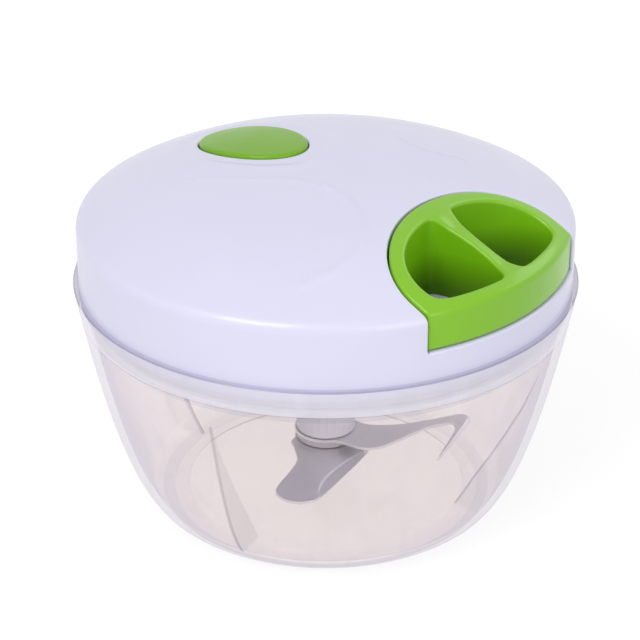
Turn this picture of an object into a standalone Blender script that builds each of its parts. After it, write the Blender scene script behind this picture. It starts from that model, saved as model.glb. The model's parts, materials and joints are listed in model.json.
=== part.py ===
"""Pull-cord food chopper: a clear bowl, a domed lid that holds a cord reel, and three blades on a stem.

The row stands on +Z with its origin at the middle of the bowl's foot. The handle is pulled along +X.
Lengths are in millimetres and angles in degrees until a mesh is made.
"""

import math

import bmesh
import bpy
from mathutils import Matrix, Vector

MM = 0.001

# Clearances
FIT = 0.3
HANDLE_GAP = 0.9
HANDLE_SIDE_GAP = 0.4
BUTTON_GAP = 0.4
TURN_STEPS = 48
SMALL_STEPS = 24
ARC_STEP = 6.0
FULL_TURN = 360.0
OVERRUN = 5.0

# Bowl
BOWL_HEIGHT = 61.5
RIM_RADIUS = 63.0
FOOT_RADIUS = 40.6
BOWL_CURVE = 0.48
BOWL_WALL = 2.0
FLOOR_TOP = 3.5
FOOT_RING_WIDTH = 5.0
FOOT_FACE_INSET = 1.2
FOOT_CORNER = 3.2
FOOT_RECESS = 1.2
COLLAR_DEPTH = 8.5
COLLAR_WALL = 1.5
LEDGE_WIDTH = 2.5
LEDGE_THICKNESS = 1.6
RIB_COUNT = 4
RIB_ANGLE = 13.0
RIB_THICKNESS = 1.6
RIB_DROP = 5.4
RIB_LEAN = 9.0
RIB_KNEE = 16.5
RIB_FOOT_INSET = 3.6
PIN_BOSS_RADIUS = 5.0
PIN_BOSS_HEIGHT = 2.5
PIN_RADIUS = 2.0
PIN_LENGTH = 12.5
PIN_SEAT = 1.0

# Bayonet between lid and bowl
LUG_COUNT = 3
LUG_ANGLE = 356.0
LUG_HALF_SPAN = 5.0
LUG_HEIGHT = 2.0
LUG_REACH = 1.2
LUG_RISE = 0.4
RAMP_REACH = 1.2
RAMP_HEIGHT = 1.4
TWIST = 25.0
STOP_SPAN = 2.0
SPAN_GAP = 2.0

# Lid shell
LID_INSET = 1.4
LID_WALL = 1.8
LID_SIDE_HEIGHT = 16.1
DOME_RISE = 12.9
LID_FILLET = 2.5
DOME_CURVE = 2.6
DOME_POINTS = 8
FILLET_POINTS = 3

# Lid base
PLATE_THICKNESS = 2.0
PLATE_RISE = 0.7
SKIRT_WALL = 1.6
SKIRT_HEIGHT = 9.2
SKIRT_PLAY = 0.3
SEAL_HEIGHT = 1.2
SEAL_WIDTH = 0.7
HUB_WALL = 1.8
HUB_DROP = 2.0
HUB_RISE = 1.5

# Cover screws
SCREW_COUNT = 4
SCREW_INSET = 7.9
SCREW_ANGLE = 45.0
SCREW_RADIUS = 1.3
SCREW_LENGTH = 11.0
SCREW_HEAD_RADIUS = 2.8
SCREW_HEAD_HEIGHT = 1.1
SCREW_BOSS_RADIUS = 3.6

# Pull handle and the pocket that it rests in
POCKET_INSET = 11.6
POCKET_DEPTH = 20.1
POCKET_HALF_WIDTH = 28.4
POCKET_LEDGE = 6.5
POCKET_WALL = 1.6
HANDLE_LIFT = 0.4
HANDLE_PROUD = 0.3
HANDLE_SETBACK = 0.7
HANDLE_END_RIM = 4.5
HANDLE_SIDE_RIM = 4.5
HANDLE_FACE_WALL = 3.1
HANDLE_WEB = 4.0
FINGER_CORNER = 2.5
FINGER_FULLNESS = 2.3
KNOT_RADIUS = 2.0
KNOT_INSET = 4.7
KNOT_PLAY = 0.4

# Pull cord
CORD_RADIUS = 0.9
CORD_RISE = 3.1
CORD_TURN_COUNT = 3
CORD_PITCH = 2.3
CORD_BEND_INSET = 2.6
CORD_POINT_COUNT = 24
EYELET_LIP = 1.1
EYELET_WALL = 1.0
EYELET_FLANGE = 0.6

# Reel, drive shaft and recoil spring
DRUM_RADIUS = 12.0
FLANGE_RADIUS = 17.5
FLANGE_THICKNESS = 1.2
REEL_GAP = 0.4
DRUM_LENGTH = 10.8
SHAFT_RADIUS = 6.5
ARBOR_RADIUS = 5.0
SEAT_FLATS = 8.0
JOURNAL_RADIUS = 2.6
JOURNAL_LENGTH = 3.7
JOURNAL_BOSS_LENGTH = 2.0
JOURNAL_BOSS_WALL = 2.1
SOCKET_DEPTH = 7.4
SOCKET_FIT = 0.3
BUSH_WALL = 1.8
CLIP_WIDTH = 2.6
CLIP_THICKNESS = 0.6
CLIP_OPENING = 50.0
CLIP_ARC_STEP = 20.0
HOUSING_RADIUS = 22.0
HOUSING_WALL = 1.2
HOUSING_HEIGHT = 8.2
SPRING_TURN_COUNT = 6
SPRING_POINT_COUNT = 14
SPRING_STRIP = 0.5
SPRING_HEIGHT = 5.0
SPRING_RISE = 1.2

# Blade unit
STEM_RADIUS = 7.0
STEM_SHOULDER = 24.7
STEM_DROP = 5.5
CORE_RADIUS = 4.5
CORE_GAP = 0.5
PIN_BORE_DEPTH = 9.0
BLADE_COUNT = 3
BLADE_THICKNESS = 0.8
HIGH_BLADE_STEP = 8.0
BLADE_STEP = 2.8
BLADE_EYE_RADIUS = 8.0
EYE_ARC_STEP = 18.0
BLADE_TURN = 161.0
GRIND_WIDTH = 2.8
HOOK_GRIND_WIDTH = 0.9
GRIND_EDGE = 0.25
SPACER_RADIUS = 7.6
STEM_FOOT_HEIGHT = 5.4

# Lid release button and its latch
BUTTON_PLACE = 25.6
BUTTON_LENGTH = 30.4
BUTTON_WIDTH = 23.6
BUTTON_PROUD = 0.8
BUTTON_DEPTH = 1.2
BUTTON_TRAVEL = 1.8
WELL_WALL = 1.2
PLUNGER_OFFSET = 3.4
PLUNGER_RADIUS = 3.4
PLUNGER_GAP = 4.4
TONGUE_WIDTH = 5.0
TONGUE_THICKNESS = 3.0
SPRING_POCKET_RADIUS = 6.2
SPRING_POCKET_DEPTH = 6.5
BUTTON_SPRING_RADIUS = 5.2
BUTTON_SPRING_WIRE = 0.4
BUTTON_SPRING_TURN_COUNT = 4
BUTTON_SPRING_POINT_COUNT = 10
BOLT_HEIGHT = 2.8
BOLT_WIDTH = 10.0
BOLT_HOUSING_GAP = 0.8
BOLT_NOSE_GAP = 0.5
RAIL_WIDTH = 1.6


def bowl_radius(height):
    """Outer radius of the bowl's curved side."""
    return FOOT_RADIUS + (RIM_RADIUS - FOOT_RADIUS) * (height / BOWL_HEIGHT) ** BOWL_CURVE


# Places worked out from the sizes above
LEDGE_TOP = BOWL_HEIGHT - COLLAR_DEPTH
COLLAR_RADIUS = bowl_radius(LEDGE_TOP) - COLLAR_WALL
LEDGE_RADIUS = COLLAR_RADIUS - LEDGE_WIDTH
RIB_TOP = LEDGE_TOP - LEDGE_THICKNESS - RIB_DROP
RIB_FOOT_RADIUS = FOOT_RADIUS - RIB_FOOT_INSET
SKIRT_RADIUS = COLLAR_RADIUS - RAMP_REACH - SKIRT_PLAY
SKIRT_BOTTOM = LEDGE_TOP + SEAL_HEIGHT + 2 * FIT
PLATE_BOTTOM = SKIRT_BOTTOM + PLATE_RISE
PLATE_TOP = PLATE_BOTTOM + PLATE_THICKNESS
WALL_BOTTOM = BOWL_HEIGHT + FIT
LID_RADIUS = RIM_RADIUS - LID_INSET
LID_SHOULDER = WALL_BOTTOM + LID_SIDE_HEIGHT
LID_TOP = LID_SHOULDER + DOME_RISE
SCREW_CIRCLE = SKIRT_RADIUS - SCREW_INSET
HUB_BORE = SHAFT_RADIUS + 2 * FIT + BUSH_WALL
POCKET_CENTRE = LID_RADIUS - POCKET_INSET
POCKET_END = POCKET_CENTRE - POCKET_DEPTH
POCKET_FLOOR = WALL_BOTTOM + POCKET_LEDGE
HANDLE_BOTTOM = POCKET_FLOOR + HANDLE_LIFT
KNOT_PLACE = POCKET_END + KNOT_INSET
CORD_HEIGHT = HANDLE_BOTTOM + CORD_RISE
CORD_BEND = POCKET_END - POCKET_WALL - CORD_BEND_INSET
WIND_RADIUS = DRUM_RADIUS + FIT + CORD_RADIUS
HOUSING_BASE = PLATE_TOP + FIT
HOUSING_TOP = HOUSING_BASE + HOUSING_HEIGHT
REEL_BASE = HOUSING_TOP + FIT + HOUSING_WALL + REEL_GAP
DRUM_TOP = REEL_BASE + FLANGE_THICKNESS + DRUM_LENGTH
TOP_FLANGE = DRUM_TOP + FIT
CLIP_BASE = TOP_FLANGE + FLANGE_THICKNESS + FIT
JOURNAL_TOP = CLIP_BASE + CLIP_THICKNESS + JOURNAL_LENGTH
STEM_TOP = PLATE_BOTTOM - STEM_DROP
CORE_BOTTOM = FLOOR_TOP + PIN_BOSS_HEIGHT + CORE_GAP
BLADE_REACH = RIB_FOOT_RADIUS
BOLT_BOTTOM = PLATE_TOP + FIT
BOLT_TOP = BOLT_BOTTOM + BOLT_HEIGHT
BOLT_INNER_END = -(HOUSING_RADIUS + BUTTON_TRAVEL + BOLT_HOUSING_GAP)
BOLT_NOSE = -math.sqrt((COLLAR_RADIUS - BOLT_NOSE_GAP) ** 2 - (BOLT_WIDTH / 2) ** 2)
BUTTON_CENTRE = -BUTTON_PLACE
PLUNGER_PLACE = BUTTON_CENTRE - PLUNGER_OFFSET
PLUNGER_END = BOLT_TOP + PLUNGER_GAP


def dome_slope():
    """Steepness of the dome where the shoulder's fillet starts, in radians."""
    return math.atan(DOME_CURVE * DOME_RISE / LID_RADIUS)


def dome_end():
    return LID_RADIUS - LID_FILLET * (1 - math.sin(dome_slope()))


def dome_height(radius):
    share = min(radius / dome_end(), 1.0)
    return LID_SHOULDER + DOME_RISE * (1 - share ** DOME_CURVE)


# The button's heights follow the dome where the button is lowest
BUTTON_BASE = dome_height(BUTTON_PLACE + BUTTON_LENGTH / 2) - BUTTON_DEPTH
WELL_FLOOR = BUTTON_BASE - BUTTON_TRAVEL - FIT
SPRING_POCKET_FLOOR = WELL_FLOOR - SPRING_POCKET_DEPTH


def clear_scene():
    for thing in list(bpy.data.objects):
        bpy.data.objects.remove(thing, do_unlink=True)


def material(name, colour, roughness, metallic=0.0, alpha=1.0):
    made = bpy.data.materials.new(name)
    made.use_nodes = True
    shader = made.node_tree.nodes["Principled BSDF"]
    shader.inputs["Base Color"].default_value = (*colour, 1.0)
    shader.inputs["Roughness"].default_value = roughness
    shader.inputs["Metallic"].default_value = metallic
    shader.inputs["Alpha"].default_value = alpha
    made.diffuse_color = (*colour, alpha)
    return made


def body_empty(name, parent=None):
    """An empty on the joint's axis that carries one moving group."""
    empty = bpy.data.objects.new(name, None)
    bpy.context.scene.collection.objects.link(empty)
    empty.parent = parent
    return empty


def finish_mesh(name, mesh_work, paint, parent):
    """Turn a bmesh in millimetres into a named, shaded object in metres."""
    bmesh.ops.recalc_face_normals(mesh_work, faces=mesh_work.faces)
    bmesh.ops.scale(mesh_work, vec=(MM, MM, MM), verts=mesh_work.verts)
    mesh = bpy.data.meshes.new(name)
    mesh_work.to_mesh(mesh)
    mesh_work.free()
    mesh.shade_smooth()
    mesh.set_sharp_from_angle(angle=math.radians(35))
    made = bpy.data.objects.new(name, mesh)
    bpy.context.scene.collection.objects.link(made)
    if paint:
        mesh.materials.append(paint)
    made.parent = parent
    return made


def turned(name, outline, paint=None, parent=None, centre=(0.0, 0.0), steps=SMALL_STEPS):
    """Spin a closed outline of (radius, height) points about a vertical axis."""
    work = bmesh.new()
    corners = [work.verts.new((radius, 0.0, height)) for radius, height in outline]
    on_axis = outline[0][0] == 0.0 and outline[-1][0] == 0.0
    last = len(corners) - 1 if on_axis else len(corners)
    edges = [work.edges.new((corners[i], corners[(i + 1) % len(corners)])) for i in range(last)]
    bmesh.ops.spin(work, geom=corners + edges, cent=(0, 0, 0), axis=(0, 0, 1),
                   angle=math.tau, steps=steps, use_merge=True)
    bmesh.ops.remove_doubles(work, verts=work.verts, dist=0.0001)
    bmesh.ops.translate(work, vec=(centre[0], centre[1], 0.0), verts=work.verts)
    return finish_mesh(name, work, paint, parent)


def prism(name, outline, low, high, paint=None, parent=None):
    """Extrude a closed plan outline between two heights."""
    work = bmesh.new()
    face = work.faces.new([work.verts.new((x, y, low)) for x, y in outline])
    grown = bmesh.ops.extrude_face_region(work, geom=[face])
    lifted = [item for item in grown["geom"] if isinstance(item, bmesh.types.BMVert)]
    bmesh.ops.translate(work, vec=(0.0, 0.0, high - low), verts=lifted)
    return finish_mesh(name, work, paint, parent)


def side_prism(name, outline, width, paint=None, parent=None, turn=0.0):
    """Extrude a closed (x, z) outline evenly to both sides of the XZ plane, then turn it about Z."""
    work = bmesh.new()
    face = work.faces.new([work.verts.new((x, -width / 2, z)) for x, z in outline])
    grown = bmesh.ops.extrude_face_region(work, geom=[face])
    moved = [item for item in grown["geom"] if isinstance(item, bmesh.types.BMVert)]
    bmesh.ops.translate(work, vec=(0.0, width, 0.0), verts=moved)
    bmesh.ops.rotate(work, matrix=Matrix.Rotation(math.radians(turn), 3, "Z"), verts=work.verts)
    return finish_mesh(name, work, paint, parent)


def swept(name, sections, paint=None, parent=None):
    """Join a row of equal-sized loops with side faces and cap both ends."""
    work = bmesh.new()
    loops = [[work.verts.new(point) for point in section] for section in sections]
    for near, far in zip(loops, loops[1:]):
        for i in range(len(near)):
            j = (i + 1) % len(near)
            work.faces.new((near[i], near[j], far[j], far[i]))
    work.faces.new(loops[0])
    work.faces.new(loops[-1])
    return finish_mesh(name, work, paint, parent)


def tube(name, points, radius, paint, parent, resolution=1):
    """A round wire or cord along points in millimetres."""
    curve = bpy.data.curves.new(name, "CURVE")
    curve.dimensions = "3D"
    curve.bevel_depth = radius * MM
    curve.bevel_resolution = resolution
    curve.use_fill_caps = True
    line = curve.splines.new("POLY")
    line.points.add(len(points) - 1)
    for target, point in zip(line.points, points):
        target.co = (point[0] * MM, point[1] * MM, point[2] * MM, 1.0)
    curve.materials.append(paint)
    made = bpy.data.objects.new(name, curve)
    bpy.context.scene.collection.objects.link(made)
    made.parent = parent
    return made


def shape_with(target, tool, operation):
    """Join, cut or keep the common part of target and tool, and hide the tool."""
    change = target.modifiers.new(tool.name, "BOOLEAN")
    change.operation = operation
    change.object = tool
    change.solver = "EXACT"
    tool.hide_render = True
    tool.display_type = "WIRE"


def join(target, tool):
    shape_with(target, tool, "UNION")


def cut(target, tool):
    shape_with(target, tool, "DIFFERENCE")


def keep_inside(target, tool):
    shape_with(target, tool, "INTERSECT")


def polar(radius, degrees):
    turn = math.radians(degrees)
    return (radius * math.cos(turn), radius * math.sin(turn))


def arc(centre, radius, first, last, count):
    """Points on a plan arc, both ends included."""
    step = (last - first) / (count - 1)
    spots = [polar(radius, first + step * i) for i in range(count)]
    return [(centre[0] + x, centre[1] + y) for x, y in spots]


def ring_block(name, inner, outer, first, last, low, high, paint=None, parent=None, step=ARC_STEP):
    """A block bounded by two arcs about the axis."""
    count = max(3, round(abs(last - first) / step) + 1)
    plan = arc((0, 0), outer, first, last, count) + arc((0, 0), inner, last, first, count)
    return prism(name, plan, low, high, paint, parent)


def circle(radius, centre=(0.0, 0.0)):
    step = FULL_TURN / SMALL_STEPS
    spots = [polar(radius, step * (i + 0.5)) for i in range(SMALL_STEPS)]
    return [(centre[0] + x, centre[1] + y) for x, y in spots]


def rod(name, radius, low, high, paint=None, parent=None, centre=(0.0, 0.0)):
    return prism(name, circle(radius, centre), low, high, paint, parent)


def ring(name, inner, outer, low, high, paint=None, parent=None, centre=(0.0, 0.0)):
    outline = [(inner, low), (outer, low), (outer, high), (inner, high)]
    return turned(name, outline, paint, parent, centre)


def hexagon(flats):
    return [polar(flats / 2 / math.cos(math.radians(30)), 60 * i + 30) for i in range(6)]


def ellipse(centre, half_length, half_width, count=32):
    steps = [math.tau * i / count for i in range(count)]
    return [(centre + half_length * math.cos(a), half_width * math.sin(a)) for a in steps]


def smooth_line(points, per_span):
    """A Catmull-Rom curve through plan points."""
    line = []
    for i in range(len(points) - 1):
        before = Vector(points[max(i - 1, 0)])
        start = Vector(points[i])
        end = Vector(points[i + 1])
        after = Vector(points[min(i + 2, len(points) - 1)])
        for step in range(per_span):
            t = step / per_span
            spot = 0.5 * (2 * start + (end - before) * t
                          + (2 * before - 5 * start + 4 * end - after) * t ** 2
                          + (3 * start - before - 3 * end + after) * t ** 3)
            line.append(tuple(spot))
    line.append(tuple(points[-1]))
    return line


def foot_corner():
    """The rounded corner from the foot's flat ring up to the wall, as a curve drawn towards one point."""
    start = Vector((FOOT_RADIUS - FOOT_FACE_INSET, 0.0))
    end = Vector((bowl_radius(FOOT_CORNER), FOOT_CORNER))
    pull = start.lerp(end, 0.6) - Vector((0.0, FOOT_CORNER * 0.4))
    curve = []
    for i in range(5):
        t = i / 4
        curve.append(tuple(start * (1 - t) ** 2 + pull * 2 * t * (1 - t) + end * t ** 2))
    return curve


def bowl_section():
    """Outline of the bowl's wall, from its foot up the outside and down the inside."""
    rise = [FOOT_CORNER + (BOWL_HEIGHT - FOOT_CORNER) * (i / 8) ** 1.7 for i in range(1, 9)]
    outside = foot_corner() + [(bowl_radius(height), height) for height in rise]
    wall_top = LEDGE_TOP - LEDGE_THICKNESS
    drop = [FLOOR_TOP + 1.2 + (wall_top - FLOOR_TOP - 1.2) * (i / 7) ** 2 for i in range(7, -1, -1)]
    inside = [(min(bowl_radius(height) - BOWL_WALL, LEDGE_RADIUS), height) for height in drop]
    collar = [(COLLAR_RADIUS, BOWL_HEIGHT), (COLLAR_RADIUS, LEDGE_TOP), (LEDGE_RADIUS, LEDGE_TOP)]
    floor_edge = inside[-1][0]
    boss_top = FLOOR_TOP + PIN_BOSS_HEIGHT
    floor = [(floor_edge - 2.5, FLOOR_TOP), (PIN_BOSS_RADIUS + 1.0, FLOOR_TOP), (PIN_BOSS_RADIUS, boss_top),
             (PIN_RADIUS + FIT, boss_top), (PIN_RADIUS + FIT, PIN_SEAT + FOOT_RECESS),
             (0.0, PIN_SEAT + FOOT_RECESS)]
    under = [(0.0, FOOT_RECESS), (FOOT_RADIUS - FOOT_RING_WIDTH, FOOT_RECESS),
             (FOOT_RADIUS - FOOT_RING_WIDTH + 0.8, 0.0)]
    return under + outside + collar + inside + floor


def rib_outline():
    """Side view of one rib: its outer edge inside the wall, its free edge sloping to the floor."""
    heights = [FLOOR_TOP - 1.0 + (RIB_TOP - FLOOR_TOP + 1.0) * (i / 8) ** 1.5 for i in range(9)]
    back = [(bowl_radius(height) - BOWL_WALL / 2, height) for height in heights]
    front = [(RIB_FOOT_RADIUS + RIB_LEAN, FLOOR_TOP + RIB_KNEE), (RIB_FOOT_RADIUS, FLOOR_TOP + 1.5),
             (RIB_FOOT_RADIUS, FLOOR_TOP - 1.0)]
    return back + front


def make_bowl(paint, root):
    bowl = turned("bowl", bowl_section(), paint, root, steps=TURN_STEPS)
    for i in range(RIB_COUNT):
        turn = RIB_ANGLE + FULL_TURN / RIB_COUNT * i
        join(bowl, side_prism(f"rib_form_{i}", rib_outline(), RIB_THICKNESS, turn=turn))
    for i in range(LUG_COUNT):
        join(bowl, ramp_form(f"ramp_form_{i}", LUG_ANGLE + FULL_TURN / LUG_COUNT * i))
    return bowl


def ramp_form(name, lug):
    """The overhang that one lug turns under, with the stop that ends its turn."""
    inner = COLLAR_RADIUS - RAMP_REACH
    outer = COLLAR_RADIUS + COLLAR_WALL / 2
    low = SKIRT_BOTTOM + LUG_RISE + LUG_HEIGHT + LUG_RISE
    stop_low = LEDGE_TOP + FIT
    near = lug - LUG_HALF_SPAN - SPAN_GAP
    far = near - TWIST
    stations = [(far - STOP_SPAN, stop_low), (far, stop_low)]
    stations += [(far + TWIST * share, low) for share in (0.02, 0.25, 0.5, 0.75, 1.0)]
    sections = []
    for turn, under in stations:
        near_side = polar(inner, turn)
        far_side = polar(outer, turn)
        sections.append([(*near_side, under), (*far_side, under), (*far_side, low + RAMP_HEIGHT),
                         (*near_side, low + RAMP_HEIGHT)])
    return swept(name, sections)


def make_pivot_pin(paint, root):
    low = PIN_SEAT + FOOT_RECESS + FIT
    high = low + PIN_LENGTH
    outline = [(0.0, low), (PIN_RADIUS, low), (PIN_RADIUS, high - 0.8), (PIN_RADIUS - 0.8, high), (0.0, high)]
    return turned("pivot_pin", outline, paint, root)


def make_seal(paint, carrier):
    inner = LEDGE_RADIUS + FIT
    low = LEDGE_TOP + FIT
    return turned("seal_ring", [(inner, low), (inner + SEAL_WIDTH, low), (inner + SEAL_WIDTH, low + SEAL_HEIGHT),
                                (inner, low + SEAL_HEIGHT)], paint, carrier, steps=TURN_STEPS)


def lid_line(depth, bottom, side=0.0):
    """The lid's outer surface from the top down, moved inwards along its own normal by depth."""
    line = []
    for i in range(DOME_POINTS):
        radius = dome_end() * math.sin(math.pi / 2 * i / DOME_POINTS)
        tilt = DOME_CURVE * DOME_RISE / dome_end() * (radius / dome_end()) ** (DOME_CURVE - 1)
        lean = math.atan(tilt)
        line.append((radius - depth * math.sin(lean), dome_height(radius) - depth * math.cos(lean)))
    middle = (LID_RADIUS - LID_FILLET, LID_SHOULDER - LID_FILLET * math.cos(dome_slope()))
    start = 90 - math.degrees(dome_slope())
    for i in range(FILLET_POINTS + 1):
        x, z = polar(LID_FILLET - depth, start * (1 - i / FILLET_POINTS))
        line.append((middle[0] + x, middle[1] + z))
    line.append((LID_RADIUS - depth, bottom))
    line[0] = (0.0, line[0][1])
    return [(min(radius, LID_RADIUS - side), height) for radius, height in line]


def lid_solid(name, depth, bottom, side=0.0):
    """Everything under the lid's surface, as a tool that trims other pieces to its curve."""
    return turned(name, lid_line(depth, bottom, side) + [(0.0, bottom)], steps=TURN_STEPS)


def pocket_outline(end_grow, side_grow):
    """Plan of the handle's pocket: half an ellipse that runs straight out past the lid's edge."""
    half_length = POCKET_DEPTH + end_grow
    half_width = POCKET_HALF_WIDTH + side_grow
    back = [(POCKET_CENTRE + half_length * math.cos(math.radians(a)), half_width * math.sin(math.radians(a)))
            for a in range(90, 271, 9)]
    outside = LID_RADIUS + 2 * OVERRUN
    return [(outside, half_width)] + back + [(outside, -half_width)]


def make_lid_cover(paint, lid):
    shell = lid_line(0.0, WALL_BOTTOM) + list(reversed(lid_line(LID_WALL, WALL_BOTTOM)))
    cover = turned("lid_cover", shell, paint, lid, steps=TURN_STEPS)
    add_pocket(cover)
    add_button_well(cover)
    add_screw_bosses(cover)
    add_journal_boss(cover)
    cord_hole = side_rod("cord_hole_form", EYELET_LIP + EYELET_WALL + FIT + 0.2, POCKET_END - 2 * POCKET_WALL,
                         POCKET_END + POCKET_WALL, CORD_HEIGHT)
    cut(cover, cord_hole)
    return cover


def add_pocket(cover):
    walls = prism("pocket_walls_form", pocket_outline(POCKET_WALL, POCKET_WALL), POCKET_FLOOR - POCKET_WALL,
                  LID_TOP + OVERRUN)
    keep_inside(walls, lid_solid("pocket_trim_form", LID_WALL / 3, PLATE_BOTTOM))
    join(cover, walls)
    cut(cover, prism("pocket_form", pocket_outline(0.0, 0.0), POCKET_FLOOR, LID_TOP + 2 * OVERRUN))


def add_button_well(cover):
    half_length = BUTTON_LENGTH / 2 + BUTTON_GAP
    half_width = BUTTON_WIDTH / 2 + BUTTON_GAP
    outer = ellipse(BUTTON_CENTRE, half_length + WELL_WALL, half_width + WELL_WALL)
    well = prism("well_form", outer, WELL_FLOOR - WELL_WALL, LID_TOP + OVERRUN)
    keep_inside(well, lid_solid("well_trim_form", LID_WALL / 3, PLATE_BOTTOM))
    join(cover, well)
    place = (PLUNGER_PLACE, 0.0)
    pocket_low = SPRING_POCKET_FLOOR - WELL_WALL
    join(cover, rod("spring_pocket_form", SPRING_POCKET_RADIUS + WELL_WALL, pocket_low, WELL_FLOOR - 0.5,
                    centre=place))
    cut(cover, prism("button_hole_form", ellipse(BUTTON_CENTRE, half_length, half_width), WELL_FLOOR,
                     LID_TOP + 2 * OVERRUN))
    cut(cover, rod("spring_bore_form", SPRING_POCKET_RADIUS, SPRING_POCKET_FLOOR, WELL_FLOOR + 1.0, centre=place))
    cut(cover, rod("plunger_bore_form", PLUNGER_RADIUS + FIT, pocket_low - 1.0, SPRING_POCKET_FLOOR + 1.0,
                   centre=place))


def screw_places():
    return [polar(SCREW_CIRCLE, SCREW_ANGLE + FULL_TURN / SCREW_COUNT * i) for i in range(SCREW_COUNT)]


def add_screw_bosses(cover):
    boss_low = PLATE_TOP + FIT
    for i, place in enumerate(screw_places()):
        boss = rod(f"screw_boss_form_{i}", SCREW_BOSS_RADIUS, boss_low, LID_TOP, centre=place)
        keep_inside(boss, lid_solid(f"boss_trim_form_{i}", LID_WALL / 3, PLATE_BOTTOM))
        join(cover, boss)
        cut(cover, rod(f"screw_bore_form_{i}", SCREW_RADIUS + FIT, boss_low - 1.0, boss_low + SCREW_LENGTH,
                       centre=place))


def add_journal_boss(cover):
    inner = JOURNAL_RADIUS + FIT
    boss_low = JOURNAL_TOP - JOURNAL_BOSS_LENGTH
    join(cover, rod("journal_boss_form", inner + JOURNAL_BOSS_WALL, boss_low, LID_TOP - LID_WALL / 2))
    cut(cover, rod("journal_bore_form", inner, boss_low - 1.0, JOURNAL_TOP + FIT))


def side_rod(name, radius, start, end, height, paint=None, parent=None, inner=0.0):
    """A rod, or a tube with an inner radius, lying along X at the given height."""
    inner = max(inner, 0.0)
    outline = [(inner, start), (radius, start), (radius, end), (inner, end)]
    made = turned(name, outline, paint, parent)
    made.data.transform(Matrix.Translation((0, 0, height * MM)) @ Matrix.Rotation(math.radians(90), 4, "Y"))
    return made


def make_lid_base(paint, lid):
    inner = SKIRT_RADIUS - SKIRT_WALL
    skirt_top = SKIRT_BOTTOM + SKIRT_HEIGHT
    hub_low = PLATE_BOTTOM - HUB_DROP
    hub_high = PLATE_TOP + HUB_RISE
    hub_outer = HUB_BORE + HUB_WALL
    outline = [(SKIRT_RADIUS, skirt_top), (SKIRT_RADIUS, SKIRT_BOTTOM), (inner, SKIRT_BOTTOM),
               (inner, PLATE_BOTTOM), (hub_outer, PLATE_BOTTOM), (hub_outer, hub_low), (HUB_BORE, hub_low),
               (HUB_BORE, hub_high), (hub_outer, hub_high), (hub_outer, PLATE_TOP), (inner, PLATE_TOP),
               (inner, skirt_top)]
    base = turned("lid_base", outline, paint, lid, steps=TURN_STEPS)
    for i in range(LUG_COUNT):
        turn = LUG_ANGLE + FULL_TURN / LUG_COUNT * i
        lug_low = SKIRT_BOTTOM + LUG_RISE
        join(base, ring_block(f"lug_form_{i}", SKIRT_RADIUS - SKIRT_WALL / 2, SKIRT_RADIUS + LUG_REACH,
                              turn - LUG_HALF_SPAN, turn + LUG_HALF_SPAN, lug_low, lug_low + LUG_HEIGHT))
    add_latch_rails(base)
    for i, place in enumerate(screw_places()):
        cut(base, rod(f"screw_hole_form_{i}", SCREW_RADIUS + FIT, PLATE_BOTTOM - 1.0, PLATE_TOP + 1.0,
                      centre=place))
        cut(base, rod(f"screw_head_form_{i}", SCREW_HEAD_RADIUS + FIT, PLATE_BOTTOM - 1.0,
                      PLATE_BOTTOM + SCREW_HEAD_HEIGHT, centre=place))
    return base


def add_latch_rails(base):
    near = -(SKIRT_RADIUS - SKIRT_WALL / 2)
    for side in (-1, 1):
        low_y = side * (BOLT_WIDTH / 2 + FIT)
        high_y = side * (BOLT_WIDTH / 2 + FIT + RAIL_WIDTH)
        plan = [(near, low_y), (BOLT_INNER_END, low_y), (BOLT_INNER_END, high_y), (near, high_y)]
        join(base, prism(f"rail_form_{side + 1}", plan, PLATE_TOP - 0.5, BOLT_TOP))
    slot = side_prism("latch_slot_form", [(-RIM_RADIUS, PLATE_TOP), (-SKIRT_RADIUS + 2 * SKIRT_WALL, PLATE_TOP),
                                          (-SKIRT_RADIUS + 2 * SKIRT_WALL, BOLT_TOP + FIT),
                                          (-RIM_RADIUS, BOLT_TOP + FIT)], BOLT_WIDTH + 2 * FIT)
    cut(base, slot)


def make_cover_screws(paint, lid):
    head_low = PLATE_BOTTOM
    head_high = PLATE_BOTTOM + SCREW_HEAD_HEIGHT - FIT
    tip = head_high + SCREW_LENGTH
    outline = [(0.0, head_low), (SCREW_HEAD_RADIUS - 0.4, head_low), (SCREW_HEAD_RADIUS, head_low + 0.4),
               (SCREW_HEAD_RADIUS, head_high), (SCREW_RADIUS, head_high), (SCREW_RADIUS, tip - 1.2), (0.0, tip)]
    for i, place in enumerate(screw_places()):
        turned(f"cover_screw_{i + 1}", outline, paint, lid, place, steps=16)


def make_drive_bush(paint, lid):
    inner = SHAFT_RADIUS + FIT
    return ring("drive_bush", inner, inner + BUSH_WALL, PLATE_BOTTOM - HUB_DROP, PLATE_TOP + HUB_RISE, paint, lid)


def make_spring_housing(paint, cover_paint, lid):
    """The cup that holds the recoil spring, and the disc that closes it."""
    hole = HUB_BORE + HUB_WALL + FIT
    top = HOUSING_TOP
    inner = HOUSING_RADIUS - HOUSING_WALL
    floor = HOUSING_BASE + HOUSING_WALL
    outline = [(hole, HOUSING_BASE), (HOUSING_RADIUS, HOUSING_BASE), (HOUSING_RADIUS, top), (inner, top),
               (inner, floor), (hole, floor)]
    turned("spring_housing", outline, paint, lid, steps=48)
    ring("spring_housing_cover", ARBOR_RADIUS + 2 * FIT, HOUSING_RADIUS, top + FIT, top + FIT + HOUSING_WALL,
         cover_paint, lid)


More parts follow.
